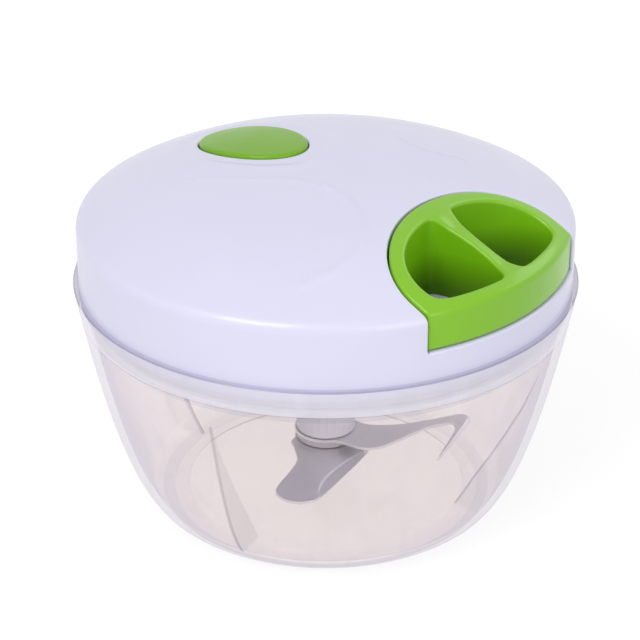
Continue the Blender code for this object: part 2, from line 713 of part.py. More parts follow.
def make_recoil_spring(paint, lid):
    """A flat strip wound from the shaft's arbor out to the cup's wall."""
    low = HOUSING_BASE + HOUSING_WALL + SPRING_RISE
    first = ARBOR_RADIUS + FIT + SPRING_STRIP
    last = HOUSING_RADIUS - HOUSING_WALL - FIT - SPRING_STRIP
    count = SPRING_TURN_COUNT * SPRING_POINT_COUNT
    sections = []
    for i in range(count + 1):
        radius = first + (last - first) * i / count
        turn = FULL_TURN * i / SPRING_POINT_COUNT
        inner = polar(radius - SPRING_STRIP / 2, turn)
        outer = polar(radius + SPRING_STRIP / 2, turn)
        high = low + SPRING_HEIGHT
        sections.append([(*inner, low), (*outer, low), (*outer, high), (*inner, high)])
    return swept("recoil_spring", sections, paint, lid)


def make_drive_shaft(paint, reel):
    """Lower socket for the blade stem, arbor, six-sided seat for the reel, and top journal."""
    bottom = STEM_TOP + FIT
    step = PLATE_TOP + HUB_RISE + FIT
    outline = [(0.0, bottom), (SHAFT_RADIUS, bottom), (SHAFT_RADIUS, step), (ARBOR_RADIUS, step),
               (ARBOR_RADIUS, REEL_BASE - FIT), (JOURNAL_RADIUS, REEL_BASE - FIT), (JOURNAL_RADIUS, JOURNAL_TOP),
               (0.0, JOURNAL_TOP)]
    shaft = turned("drive_shaft", outline, paint, reel)
    join(shaft, prism("reel_seat_form", hexagon(SEAT_FLATS), REEL_BASE - FIT - 0.5, CLIP_BASE - FIT))
    cut(shaft, prism("bit_socket_form", hexagon(SEAT_FLATS + 2 * SOCKET_FIT), bottom - 1.0, bottom + SOCKET_DEPTH))
    return shaft


def make_reel(paint, flange_paint, reel):
    bore = hexagon(SEAT_FLATS + 2 * FIT)
    flange_high = REEL_BASE + FLANGE_THICKNESS
    outline = [(0.0, REEL_BASE), (FLANGE_RADIUS, REEL_BASE), (FLANGE_RADIUS, flange_high),
               (DRUM_RADIUS, flange_high), (DRUM_RADIUS, DRUM_TOP), (0.0, DRUM_TOP)]
    drum = turned("cord_reel", outline, paint, reel)
    cut(drum, prism("reel_bore_form", bore, REEL_BASE - 1.0, DRUM_TOP + 1.0))
    flange = rod("reel_flange", FLANGE_RADIUS, TOP_FLANGE, TOP_FLANGE + FLANGE_THICKNESS, flange_paint, reel)
    cut(flange, prism("flange_bore_form", bore, TOP_FLANGE - 1.0, TOP_FLANGE + FLANGE_THICKNESS + 1.0))


def make_shaft_clip(paint, reel):
    """An open spring-steel ring round the top journal."""
    inner = JOURNAL_RADIUS + FIT
    return ring_block("shaft_clip", inner, inner + CLIP_WIDTH, CLIP_OPENING / 2, FULL_TURN - CLIP_OPENING / 2,
                      CLIP_BASE, CLIP_BASE + CLIP_THICKNESS, paint, reel, step=CLIP_ARC_STEP)


def cord_leaving_angle():
    """Where on the winding the cord leaves for the bend in front of the eyelet."""
    return -math.degrees(math.acos(WIND_RADIUS / CORD_BEND))


def make_cord_winding(paint, reel):
    """The cord on the drum, turning back from the leaving point and climbing one pitch a turn."""
    count = CORD_TURN_COUNT * CORD_POINT_COUNT
    points = []
    for i in range(count + 1):
        x, y = polar(WIND_RADIUS, cord_leaving_angle() - FULL_TURN / CORD_POINT_COUNT * i)
        points.append(Vector((x, y, CORD_HEIGHT + CORD_PITCH * i / CORD_POINT_COUNT)))
    half_turn = CORD_POINT_COUNT // 2
    apart = min((points[j] - points[i]).length for i in range(count) for j in range(i + half_turn, count + 1))
    print("least gap between the cord's turns, mm:", round(apart - 2 * CORD_RADIUS, 2))
    return tube("cord_winding", points, CORD_RADIUS, paint, reel)


def make_pull_cord(paint, handle):
    """The cord from the winding through the eyelet to its knot in the handle."""
    start = Vector((*polar(WIND_RADIUS, cord_leaving_angle()), CORD_HEIGHT))
    bend = Vector((CORD_BEND, 0.0, CORD_HEIGHT))
    away = (bend - start).normalized()
    start = start + away * FIT
    before = bend - away * 2.0
    after = Vector((CORD_BEND + 2.0, 0.0, CORD_HEIGHT))
    end = Vector((KNOT_PLACE - KNOT_RADIUS - FIT, 0.0, CORD_HEIGHT))
    straight = [start + (before - start) * i / 6 for i in range(6)]
    curve = [before * (1 - t) ** 2 + bend * 2 * t * (1 - t) + after * t ** 2 for t in (0.0, 0.25, 0.5, 0.75, 1.0)]
    return tube("pull_cord", straight + curve + [end], CORD_RADIUS, paint, handle)


def make_cord_eyelet(paint, lid):
    back = POCKET_END - POCKET_WALL
    lip = EYELET_LIP + FIT
    flange = side_rod("cord_eyelet", lip + EYELET_WALL + 1.0, back - FIT - EYELET_FLANGE, back - FIT, CORD_HEIGHT,
                      paint, lid, inner=lip)
    barrel = side_rod("eyelet_barrel_form", lip + EYELET_WALL, back - FIT - 0.3, POCKET_END - FIT, CORD_HEIGHT,
                      inner=lip)
    join(flange, barrel)
    return flange


def finger_outline():
    """Plan of one finger hole: the handle's outline moved in by its rim, cut off by the web and front wall."""
    half_length = POCKET_DEPTH - HANDLE_GAP - HANDLE_END_RIM
    half_width = POCKET_HALF_WIDTH - HANDLE_SIDE_GAP - HANDLE_SIDE_RIM
    limit = LID_RADIUS - HANDLE_SETBACK - HANDLE_FACE_WALL
    power = 2 / FINGER_FULLNESS
    web = math.degrees(math.asin((HANDLE_WEB / 2 / half_width) ** (1 / power)))
    back = []
    for i in range(40):
        turn = math.radians(180 - web - 4 * i)
        x = POCKET_CENTRE + half_length * math.copysign(abs(math.cos(turn)) ** power, math.cos(turn))
        y = half_width * abs(math.sin(turn)) ** power
        if math.hypot(x, y) > limit:
            break
        back.append((x, y))
    corner = math.degrees(math.atan2(back[-1][1], back[-1][0]))
    return back + arc((0, 0), limit, corner - 1.5, math.degrees(math.asin(HANDLE_WEB / 2 / limit)), 7)


def make_pull_handle(paint, handle):
    plan = pocket_outline(-HANDLE_GAP, -HANDLE_SIDE_GAP)
    body = prism("pull_handle", plan, HANDLE_BOTTOM, LID_TOP + OVERRUN, paint, handle)
    keep_inside(body, lid_solid("handle_trim_form", -HANDLE_PROUD, PLATE_BOTTOM, HANDLE_SETBACK))
    for side in (-1, 1):
        outline = [(x, side * y) for x, y in finger_outline()]
        hole = prism(f"finger_form_{side + 1}", outline, HANDLE_BOTTOM - OVERRUN, LID_TOP + 2 * OVERRUN)
        rounding = hole.modifiers.new("corners", "BEVEL")
        rounding.width = FINGER_CORNER * MM
        rounding.segments = 3
        rounding.limit_method = "ANGLE"
        rounding.angle_limit = math.radians(35)
        cut(body, hole)
    knot_bore = rod("knot_bore_form", KNOT_RADIUS + KNOT_PLAY, HANDLE_BOTTOM - 1.0,
                    CORD_HEIGHT + KNOT_RADIUS + KNOT_PLAY, centre=(KNOT_PLACE, 0.0))
    cut(body, knot_bore)
    cut(body, side_rod("handle_cord_form", CORD_RADIUS + FIT, POCKET_END - 1.0, KNOT_PLACE, CORD_HEIGHT))
    return body


def make_cord_knot(paint, handle):
    outline = [polar(KNOT_RADIUS, -90 + 18 * i) for i in range(11)]
    outline = [(max(x, 0.0) if 0 < i < 10 else 0.0, CORD_HEIGHT + z) for i, (x, z) in enumerate(outline)]
    return turned("cord_knot", outline, paint, handle, (KNOT_PLACE, 0.0), steps=16)


def blade_line(hooked):
    """Plan of one blade lying along +X, as shares of its reach: the ground edge out, then the back edge home."""
    if hooked:
        ground = [(0.15, 0.157), (0.23, 0.06), (0.32, 0.016), (0.51, 0.022), (0.75, 0.095), (0.957, 0.165),
                  (1.022, 0.108), (0.989, 0.0), (0.941, -0.1), (0.86, -0.27), (0.754, -0.476)]
        hollow = [(0.754, -0.476), (0.815, -0.31), (0.87, -0.17), (0.905, -0.05), (0.887, 0.03),
                  (0.82, 0.01), (0.71, -0.035), (0.51, -0.195), (0.37, -0.3), (0.25, -0.31), (0.12, -0.232)]
    else:
        ground = [(-0.038, 0.214), (-0.035, 0.3), (0.04, 0.362), (0.25, 0.371), (0.45, 0.37), (0.65, 0.37),
                  (0.8, 0.36), (0.882, 0.28), (0.86, 0.13)]
        hollow = [(0.86, 0.13), (0.78, 0.06), (0.55, 0.033), (0.4, 0.0), (0.29, -0.08), (0.2, -0.165)]
    sides = [[(x * BLADE_REACH, y * BLADE_REACH) for x, y in side] for side in (ground, hollow)]
    return smooth_line(sides[0], 3), smooth_line(sides[1], 3)


def inward(points, index, amount):
    """A point of the ground edge moved square to the edge, into the blade."""
    before = Vector(points[max(index - 1, 0)])
    after = Vector(points[min(index + 1, len(points) - 1)])
    along = (after - before).normalized()
    return Vector(points[index]) + Vector((along.y, -along.x)) * amount


def make_blade(name, low, turn, hooked, paint, blades):
    """A flat blade with an eye round the core, ground to an edge along one side."""
    ground, hollow = blade_line(hooked)
    grind = HOOK_GRIND_WIDTH if hooked else GRIND_WIDTH
    eye_start = math.degrees(math.atan2(hollow[-1][1], hollow[-1][0])) - EYE_ARC_STEP
    eye_end = math.degrees(math.atan2(ground[0][1], ground[0][0])) + EYE_ARC_STEP - FULL_TURN
    eye = arc((0, 0), BLADE_EYE_RADIUS, eye_start, eye_end, 9)
    lower = ground + hollow[1:] + eye
    last = len(ground) - 1
    upper = []
    for i in range(len(ground)):
        taper = min(1.0, i / 4, (last - i) / 3)
        upper.append(tuple(inward(ground, i, grind * taper)))
    upper += hollow[1:] + eye
    sections = [[(x, y, low) for x, y in lower], [(x, y, low + GRIND_EDGE) for x, y in lower],
                [(x, y, low + BLADE_THICKNESS) for x, y in upper]]
    blade = swept(name, sections, paint, blades)
    blade.data.transform(Matrix.Rotation(math.radians(turn), 4, "Z"))
    cut(blade, rod(f"{name}_eye_form", CORE_RADIUS + FIT, low - 1.0, low + BLADE_THICKNESS + 1.0))
    return blade


def make_blade_unit(stem_paint, steel_paint, blades):
    """Stem, one blade high up and two near the floor, their spacers, and the foot that holds them on the core."""
    bore_top = CORE_BOTTOM + PIN_BORE_DEPTH
    outline = [(PIN_RADIUS + FIT, CORE_BOTTOM), (CORE_RADIUS, CORE_BOTTOM), (CORE_RADIUS, STEM_SHOULDER),
               (STEM_RADIUS, STEM_SHOULDER), (STEM_RADIUS, STEM_TOP), (0.0, STEM_TOP), (0.0, bore_top),
               (PIN_RADIUS + FIT, bore_top)]
    stem = turned("blade_stem", outline, stem_paint, blades)
    join(stem, prism("drive_bit_form", hexagon(SEAT_FLATS), STEM_TOP - 0.5, STEM_TOP + SOCKET_DEPTH - FIT))
    high_blade = STEM_SHOULDER - FIT - BLADE_THICKNESS
    middle_blade = high_blade - HIGH_BLADE_STEP
    low_blade = middle_blade - BLADE_STEP
    make_blade("blade_upper", high_blade, BLADE_TURN, False, steel_paint, blades)
    make_blade("blade_middle", middle_blade, BLADE_TURN - FULL_TURN / BLADE_COUNT, True, steel_paint, blades)
    make_blade("blade_lower", low_blade, BLADE_TURN - 2 * FULL_TURN / BLADE_COUNT, False, steel_paint, blades)
    make_spacer("blade_spacer_upper", middle_blade, high_blade, stem_paint, blades)
    make_spacer("blade_spacer_lower", low_blade, middle_blade, steel_paint, blades)
    foot_high = low_blade - FIT
    foot_low = foot_high - STEM_FOOT_HEIGHT
    ring("stem_foot", CORE_RADIUS + FIT, SPACER_RADIUS, foot_low, foot_high, steel_paint, blades)


def make_spacer(name, lower_blade, upper_blade, paint, blades):
    """The ring that keeps two blades apart, given the heights of their undersides."""
    low = lower_blade + BLADE_THICKNESS + FIT
    ring(name, CORE_RADIUS + FIT, SPACER_RADIUS, low, upper_blade - FIT, paint, blades)


def make_release_button(paint, button):
    """Oval cap shaped to the dome, with a plunger that ends in a slanted tongue."""
    cap = prism("release_button", ellipse(BUTTON_CENTRE, BUTTON_LENGTH / 2, BUTTON_WIDTH / 2), BUTTON_BASE,
                LID_TOP + OVERRUN, paint, button)
    keep_inside(cap, lid_solid("button_trim_form", -BUTTON_PROUD, PLATE_BOTTOM))
    join(cap, rod("plunger_form", PLUNGER_RADIUS, PLUNGER_END, BUTTON_BASE + 1.0, centre=(PLUNGER_PLACE, 0.0)))
    tip = BOLT_BOTTOM + BUTTON_TRAVEL + FIT
    half = TONGUE_THICKNESS / 2
    drop = PLUNGER_END + 0.5 - tip
    outline = [(PLUNGER_PLACE - half, PLUNGER_END + 0.5), (PLUNGER_PLACE + half, PLUNGER_END + 0.5),
               (PLUNGER_PLACE + half - drop, tip), (PLUNGER_PLACE - half - drop, tip)]
    join(cap, side_prism("tongue_form", outline, TONGUE_WIDTH))
    return cap


def make_latch_bolt(paint, latch):
    """A flat bolt whose slanted window the button's tongue runs in."""
    bolt = side_prism("latch_bolt", [(BOLT_NOSE, BOLT_BOTTOM), (BOLT_INNER_END, BOLT_BOTTOM),
                                     (BOLT_INNER_END, BOLT_TOP), (BOLT_NOSE, BOLT_TOP)], BOLT_WIDTH, paint, latch)
    half = TONGUE_THICKNESS / 2 + 2 * FIT
    high = BOLT_TOP + 1.0
    low = BOLT_BOTTOM - 1.0
    at_high = PLUNGER_PLACE - (PLUNGER_END + 0.5 - high)
    at_low = PLUNGER_PLACE - (PLUNGER_END + 0.5 - low)
    window = side_prism("bolt_window_form", [(at_low - half, low), (at_low + half, low), (at_high + half, high),
                                             (at_high - half, high)], TONGUE_WIDTH + 2 * FIT)
    cut(bolt, window)
    return bolt


def make_button_spring(paint, lid):
    low = SPRING_POCKET_FLOOR + FIT + BUTTON_SPRING_WIRE
    high = BUTTON_BASE - FIT - BUTTON_SPRING_WIRE
    count = BUTTON_SPRING_TURN_COUNT * BUTTON_SPRING_POINT_COUNT
    points = []
    for i in range(count + 1):
        x, y = polar(BUTTON_SPRING_RADIUS, FULL_TURN / BUTTON_SPRING_POINT_COUNT * i)
        points.append((PLUNGER_PLACE + x, y, low + (high - low) * i / count))
    return tube("button_spring", points, BUTTON_SPRING_WIRE, paint, lid, resolution=1)


def build():
    clear_scene()
    clear = material("clear_plastic", (0.93, 0.91, 0.90), 0.08, alpha=0.3)
    white = material("white_shell", (0.83, 0.83, 0.90), 0.35)
    inner_white = material("inner_white", (0.78, 0.78, 0.80), 0.5)
    green = material("green_gloss", (0.26, 0.55, 0.03), 0.25)
    milky = material("milky_stem", (0.72, 0.74, 0.78), 0.4)
    steel = material("blade_steel", (0.45, 0.45, 0.47), 0.25, metallic=1.0)
    fastener = material("fastener_steel", (0.55, 0.55, 0.56), 0.35, metallic=1.0)
    rubber = material("seal_silicone", (0.75, 0.77, 0.80), 0.6)
    cord = material("cord_nylon", (0.85, 0.85, 0.83), 0.7)

    root = body_empty("bowl_group")
    carrier = body_empty("seal_group", root)
    lid = body_empty("lid_group", carrier)
    reel = body_empty("reel_group", lid)
    blades = body_empty("blade_group", lid)
    handle = body_empty("handle_group", lid)
    button = body_empty("button_group", lid)
    latch = body_empty("latch_group", lid)

    make_bowl(clear, root)
    make_pivot_pin(fastener, root)
    make_seal(rubber, carrier)
    make_lid_cover(white, lid)
    make_lid_base(white, lid)
    make_cover_screws(fastener, lid)
    make_drive_bush(inner_white, lid)
    make_spring_housing(inner_white, inner_white, lid)
    make_recoil_spring(fastener, lid)
    make_button_spring(fastener, lid)
    make_cord_eyelet(fastener, lid)
    make_drive_shaft(inner_white, reel)
    make_reel(inner_white, inner_white, reel)
    make_shaft_clip(fastener, reel)
    make_cord_winding(cord, reel)
    make_pull_handle(green, handle)
    make_cord_knot(cord, handle)
    make_pull_cord(cord, handle)
    make_blade_unit(milky, steel, blades)
    make_release_button(green, button)
    make_latch_bolt(inner_white, latch)


build()
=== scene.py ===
"""Looks of the pull-cord food chopper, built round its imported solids.

Lengths are in millimetres until a mesh is made."""

import math
import json

import bmesh
import bpy
import numpy as np
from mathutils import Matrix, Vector
from mathutils.geometry import delaunay_2d_cdt, tessellate_polygon


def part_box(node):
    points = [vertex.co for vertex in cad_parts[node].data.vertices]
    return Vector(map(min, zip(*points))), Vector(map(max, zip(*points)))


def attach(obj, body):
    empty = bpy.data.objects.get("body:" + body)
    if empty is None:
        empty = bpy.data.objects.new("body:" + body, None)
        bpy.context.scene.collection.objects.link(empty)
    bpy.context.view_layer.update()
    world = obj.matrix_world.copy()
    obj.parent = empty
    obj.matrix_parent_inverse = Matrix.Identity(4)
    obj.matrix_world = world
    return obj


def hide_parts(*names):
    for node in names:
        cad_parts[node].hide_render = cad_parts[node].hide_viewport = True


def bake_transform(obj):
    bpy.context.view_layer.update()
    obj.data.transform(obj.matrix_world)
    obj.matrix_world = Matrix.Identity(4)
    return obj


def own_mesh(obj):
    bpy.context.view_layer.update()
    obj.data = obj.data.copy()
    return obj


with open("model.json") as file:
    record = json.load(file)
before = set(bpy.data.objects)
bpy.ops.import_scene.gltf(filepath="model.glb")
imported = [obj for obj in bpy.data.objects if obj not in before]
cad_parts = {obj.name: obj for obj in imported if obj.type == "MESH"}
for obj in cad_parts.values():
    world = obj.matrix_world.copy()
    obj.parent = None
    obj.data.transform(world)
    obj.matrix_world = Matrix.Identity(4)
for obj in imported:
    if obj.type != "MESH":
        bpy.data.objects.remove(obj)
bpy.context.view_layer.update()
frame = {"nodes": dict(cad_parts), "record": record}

MM = 0.001


def box_mm(node):
    """Lowest and highest corner of a CAD node in millimetres."""
    low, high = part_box(node)
    return np.array(low) / MM, np.array(high) / MM


# Bowl, as in the solid but for its ribs, which are thinner and follow the photographed free edge
BOWL_STEPS = 160
BOWL_HEIGHT = box_mm("bowl")[1][2]
RIM_RADIUS = box_mm("bowl")[1][0]
FOOT_RADIUS = 40.6
BOWL_CURVE = 0.48
BOWL_WALL = 2.0
FLOOR_TOP = 3.5
FOOT_RECESS = 1.2
FOOT_RING_WIDTH = 5.0
FOOT_FACE_INSET = 1.2
FOOT_CORNER = 3.2
COLLAR_DEPTH = 8.5
COLLAR_WALL = 1.5
LEDGE_WIDTH = 2.5
LEDGE_THICKNESS = 1.6
BAND_LOW = 54.2
RIB_COUNT = 4
RIB_ANGLE = 13.0
RIB_THICKNESS = 0.9
RIB_LINE_WIDTH = 0.5
RIB_DROP = 5.4
RIB_FOOT_INSET = 3.6
RIB_EDGE = [(54.3, 36.2), (50.4, 28.2), (46.6, 20.9), (44.2, 16.7), (41.7, 12.3), (39.5, 8.0)]

# Lid, as in the solid
LID_TOP = box_mm("lid_cover")[1][2]
LID_BOTTOM = box_mm("lid_cover")[0][2]
LID_RADIUS = RIM_RADIUS - 1.4
DOME_RISE = 12.9
DOME_CURVE = 2.6
SHOULDER_FILLET = 2.5
LID_SHOULDER = LID_TOP - DOME_RISE
LID_ROLL = 0.55
LID_SPACING = 1.3
NOTCH_SPACING = 0.7
OUTLINE_STEPS = 420
WELL_STEPS = 110
LIP_WALL = 1.8

# Handle and its pocket; the handle's gaps and holes are set from the photograph
HANDLE_BOTTOM = box_mm("pull_handle")[0][2]
POCKET_FLOOR = HANDLE_BOTTOM - 0.4
POCKET_CENTRE = LID_RADIUS - 11.6
POCKET_DEPTH = 20.1
POCKET_HALF_WIDTH = 28.4
HANDLE_GAP = 0.6
HANDLE_SIDE_GAP = 0.35
HANDLE_SETBACK = 0.7
HANDLE_LOW = HANDLE_BOTTOM - 0.25
HANDLE_PROUD = 0.3
HANDLE_FILLET = 1.2
HANDLE_END_RIM = 4.8
HANDLE_SIDE_RIM = 4.55
HANDLE_FACE_WALL = 3.1
HANDLE_ROLL = 0.9
HANDLE_SPACING = 0.9
HANDLE_LINE_SPACING = 0.5
WEB_DROP = 1.1
FINGER_SOFTNESS = 0.85
FINGER_DRAFT = 1.2
FINGER_CENTRE = (46.5, 12.0)
FINGER_FULLNESS = 2.3

# Release button
BUTTON_CENTRE = -24.1
BUTTON_LENGTH = 31.4
BUTTON_WIDTH = 21.8
BUTTON_PROUD = 0.9
BUTTON_GAP = 0.25
BUTTON_BOTTOM = LID_TOP - 6.0
BUTTON_ROLL = 0.8
BUTTON_CROWN = 0.25
BUTTON_SPACING = 0.9
BUTTON_STEPS = 140

# Camera, from the photograph's rim and foot ellipses
CAMERA_DISTANCE = 550.0
CAMERA_ELEVATION = 26.33
CAMERA_AZIMUTH = 40.5
FOCAL_PIXELS = 2197.0
RIM_PIXEL = (325.8, 268.9)
FRAME_PIXELS = 640.0
SENSOR_WIDTH = 36.0

# Meshing of the turned skins
DOME_ROWS = 80
FILLET_ROWS = 12
ROW_HEIGHT = 0.866
ROLL_ROWS = (0.08, 0.25, 0.5, 0.8, 1.15)
POINTS_AT_ONCE = 2000
MERGE_LIMIT = 1e-7
SAME_SPOT = 0.02
SHORT_WALL = 0.05


def polar(radius, degrees):
    turn = math.radians(degrees)
    return (radius * math.cos(turn), radius * math.sin(turn))


def about_axis(verts, degrees):
    """Points turned about the part's axis."""
    turn = math.radians(degrees)
    return [(x * math.cos(turn) - y * math.sin(turn), x * math.sin(turn) + y * math.cos(turn), z)
            for x, y, z in verts]


def smoothstep(value, low, high):
    share = np.clip((np.asarray(value, float) - low) / (high - low), 0.0, 1.0)
    return share * share * (3 - 2 * share)


def make_object(name, verts, faces, paints, body, nodes=(), sharp=40.0, zones=None):
    """A mesh in millimetres made into a shaded piece that rides on a CAD body.

    Where zones are given, they say which of the paints each face has."""
    mesh = bpy.data.meshes.new(name)
    mesh.from_pydata([tuple(c * MM for c in v) for v in verts], [], faces)
    mesh.shade_smooth()
    mesh.set_sharp_from_angle(angle=math.radians(sharp))
    for paint in paints if isinstance(paints, list) else [paints]:
        mesh.materials.append(paint)
    if zones:
        mesh.polygons.foreach_set("material_index", zones)
    mesh.validate()
    piece = bpy.data.objects.new(name, mesh)
    bpy.context.scene.collection.objects.link(piece)
    if body:
        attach(piece, body)
    if nodes:
        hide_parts(*nodes)
    return piece


def turned(outline, steps, closed=True):
    """Vertices and faces of an outline of (radius, height) points spun about the axis."""
    verts = []
    faces = []
    count = len(outline)
    for step in range(steps):
        turn = math.tau * step / steps
        verts += [(r * math.cos(turn), r * math.sin(turn), z) for r, z in outline]
    spans = count if closed else count - 1
    for step in range(steps):
        here = step * count
        there = (step + 1) % steps * count
        for i in range(spans):
            j = (i + 1) % count
            faces.append((here + i, there + i, there + j, here + j))
    return verts, faces


# The lid's dome
def dome_slope():
    return math.atan(DOME_CURVE * DOME_RISE / LID_RADIUS)


def dome_end():
    return LID_RADIUS - SHOULDER_FILLET * (1 - math.sin(dome_slope()))


def dome_height(radius):
    share = np.minimum(np.asarray(radius, float) / dome_end(), 1.1)
    return LID_SHOULDER + DOME_RISE * (1 - share ** DOME_CURVE)


def dome_lean(radius):
    share = radius / dome_end()
    return math.atan(DOME_CURVE * DOME_RISE / dome_end() * share ** (DOME_CURVE - 1))


class Skin:
    """A turned surface laid out flat, so that a distance from the middle is a way along the profile."""

    def __init__(self, wall_radius, fillet, lift, bottom):
        end = wall_radius
        for _ in range(30):  # settles on the radius where the dome meets the fillet
            end = wall_radius - fillet * (1 - math.sin(dome_lean(end)))
        lean = dome_lean(end)
        reaches = [end * math.sin(math.pi / 2 * i / DOME_ROWS) for i in range(DOME_ROWS)]
        line = [(r, float(dome_height(r)) + lift, dome_lean(r)) for r in reaches]
        middle = (wall_radius - fillet, float(dome_height(end)) + lift - fillet * math.cos(lean))
        for i in range(FILLET_ROWS + 1):
            turn = lean + (math.pi / 2 - lean) * i / FILLET_ROWS
            line.append((middle[0] + fillet * math.sin(turn), middle[1] + fillet * math.cos(turn), turn))
        line.append((wall_radius, bottom, math.pi / 2))
        table = np.array(line)
        steps = np.hypot(np.diff(table[:, 0]), np.diff(table[:, 1]))
        self.way = np.concatenate([[0.0], np.cumsum(steps)])
        self.radius = table[:, 0]
        self.height = table[:, 1]
        self.lean = table[:, 2]
        self.wall_radius = wall_radius
        self.wall_start = self.way[-2]

    def way_at_radius(self, radius):
        return float(np.interp(radius, self.radius[:-1], self.way[:-1]))

    def way_at_height(self, height):
        return float(self.way[-1] + (self.height[-1] - height))

    def place(self, flat):
        """Positions and outward normals of laid-out points."""
        flat = np.asarray(flat, float)
        way = np.hypot(flat[:, 0], flat[:, 1])
        turn = np.arctan2(flat[:, 1], flat[:, 0])
        radius = np.interp(way, self.way, self.radius)
        height = np.interp(way, self.way, self.height)
        lean = np.interp(way, self.way, self.lean)
        spots = np.stack([radius * np.cos(turn), radius * np.sin(turn), height], 1)
        normals = np.stack([np.sin(lean) * np.cos(turn), np.sin(lean) * np.sin(turn), np.cos(lean)], 1)
        return spots, normals

    def lay(self, x, y):
        """The laid-out place of a plan point on the dome or its fillet."""
        way = self.way_at_radius(math.hypot(x, y))
        turn = math.atan2(y, x)
        return (way * math.cos(turn), way * math.sin(turn))


def segment_distance(points, loop):
    """Distance of each point from a closed loop, in two or three dimensions."""
    starts = np.asarray(loop, float)
    along = np.roll(starts, -1, axis=0) - starts
    size = np.maximum((along ** 2).sum(1), 1e-12)
    best = np.full(len(points), 1e9)
    for first in range(0, len(points), POINTS_AT_ONCE):
        last = first + POINTS_AT_ONCE
        block = points[first:last, None, :] - starts[None]
        share = np.clip((block * along[None]).sum(2) / size[None], 0.0, 1.0)
        gap = np.linalg.norm(block - share[..., None] * along[None], axis=2)
        best[first:last] = gap.min(1)
    return best


def inside(points, loop):
    """Whether each flat point lies inside a closed loop."""
    loop = np.asarray(loop, float)
    after = np.roll(loop, -1, axis=0)
    odd = np.zeros(len(points), bool)
    for (x0, y0), (x1, y1) in zip(loop, after):
        if y0 == y1:
            continue
        crosses = (points[:, 1] > y0) != (points[:, 1] > y1)
        at = x0 + (points[:, 1] - y0) * (x1 - x0) / (y1 - y0)
        odd ^= crosses & (points[:, 0] < at)
    return odd


def between(points, loops):
    """Whether each flat point lies inside the first loop and outside the others."""
    good = inside(points, loops[0])
    for hole in loops[1:]:
        good &= ~inside(points, hole)
    return good


def evened(loop, spacing):
    """The same closed loop with points an even spacing apart."""
    loop = np.asarray(loop, float)
    closed = np.vstack([loop, loop[:1]])
    steps = np.hypot(*np.diff(closed, axis=0).T)
    way = np.concatenate([[0.0], np.cumsum(steps)])
    count = max(8, round(way[-1] / spacing))
    at = np.linspace(0.0, way[-1], count, endpoint=False)
    return np.stack([np.interp(at, way, closed[:, 0]), np.interp(at, way, closed[:, 1])], 1)


def fill_triangles(loops, loose):
    """Triangles between the first loop and the others, through the loose points."""
    points = np.vstack(loops + ([loose] if len(loose) else []))
    edges = []
    first = 0
    for loop in loops:
        edges += [(first + i, first + (i + 1) % len(loop)) for i in range(len(loop))]
        first += len(loop)
    found = delaunay_2d_cdt([Vector(p) for p in points], edges, [], 0, MERGE_LIMIT)
    kept = np.array([tuple(v) for v in found[0]])
    if len(kept) != len(points):
        raise RuntimeError("the fill merged points")
    faces = np.array([tuple(f) for f in found[2]])
    faces = faces[between(kept[faces].mean(1), loops)]
    lookup = [group[0] for group in found[3]]
    return points, [tuple(int(lookup[i]) for i in face) for face in faces]


def skin_mesh(skin, loops, spacing, edge, relief):
    """A patch of a skin between loops, raised by a relief and rolled over with radius edge at every loop.

    Gives vertices, faces, and for each loop the numbers of its vertices."""
    reach = np.abs(loops[0]).max() + spacing
    rows = []
    for row, y in enumerate(np.arange(-reach, reach, spacing * ROW_HEIGHT)):
        xs = np.arange(-reach, reach, spacing) + (spacing / 2 if row % 2 else 0.0)
        rows.append(np.stack([xs, np.full(len(xs), y)], 1))
    grid = np.vstack(rows)
    grid = grid[between(grid, loops)]
    gap = np.min([segment_distance(grid, loop) for loop in loops], axis=0)
    grid = grid[gap > edge + spacing * 0.45]
    near = []
    for loop in loops:
        tangent = np.roll(loop, -1, axis=0) - np.roll(loop, 1, axis=0)
        tangent /= np.linalg.norm(tangent, axis=1)[:, None]
        side = np.stack([-tangent[:, 1], tangent[:, 0]], 1)
        for share in ROLL_ROWS:
            for sign in (-1, 1):
                spots = loop + side * sign * edge * share
                good = between(spots, loops)
                away = np.min([segment_distance(spots, other) for other in loops], axis=0)
                near.append(spots[good & (away > edge * share * 0.97)])
    loose = np.vstack([grid] + near)
    points, faces = fill_triangles(loops, loose)
    spots, normals = skin.place(points)
    placed = [skin.place(loop)[0] for loop in loops]
    depth = np.min([segment_distance(spots, loop) for loop in placed], axis=0)
    inset = np.clip(edge - depth, 0.0, edge)
    drop = edge - np.sqrt(np.maximum(edge ** 2 - inset ** 2, 0.0))
    drop = drop - relief(spots[:, 0], spots[:, 1])
    spots = spots - normals * drop[:, None]
    numbers = []
    first = 0
    for loop in loops:
        numbers.append(list(range(first, first + len(loop))))
        first += len(loop)
    return [tuple(p) for p in spots], faces, numbers


def add_wall(verts, faces, numbers, low, hollow):
    """Faces from a loop of vertices straight down to a height. Gives the lower vertices' numbers."""
    lower = []
    for number in numbers:
        x, y, z = verts[number]
        if z - low < SHORT_WALL:
            lower.append(number)
        else:
            lower.append(len(verts))
            verts.append((x, y, low))
    count = len(numbers)
    for i in range(count):
        j = (i + 1) % count
        quad = (numbers[i], numbers[j], lower[j], lower[i])
        if math.dist(verts[numbers[i]][:2], verts[numbers[j]][:2]) < SAME_SPOT:
            continue
        if numbers[i] == lower[i] and numbers[j] == lower[j]:
            continue
        quad = tuple(dict.fromkeys(quad))
        faces.append(quad if hollow else tuple(reversed(quad)))
    return lower


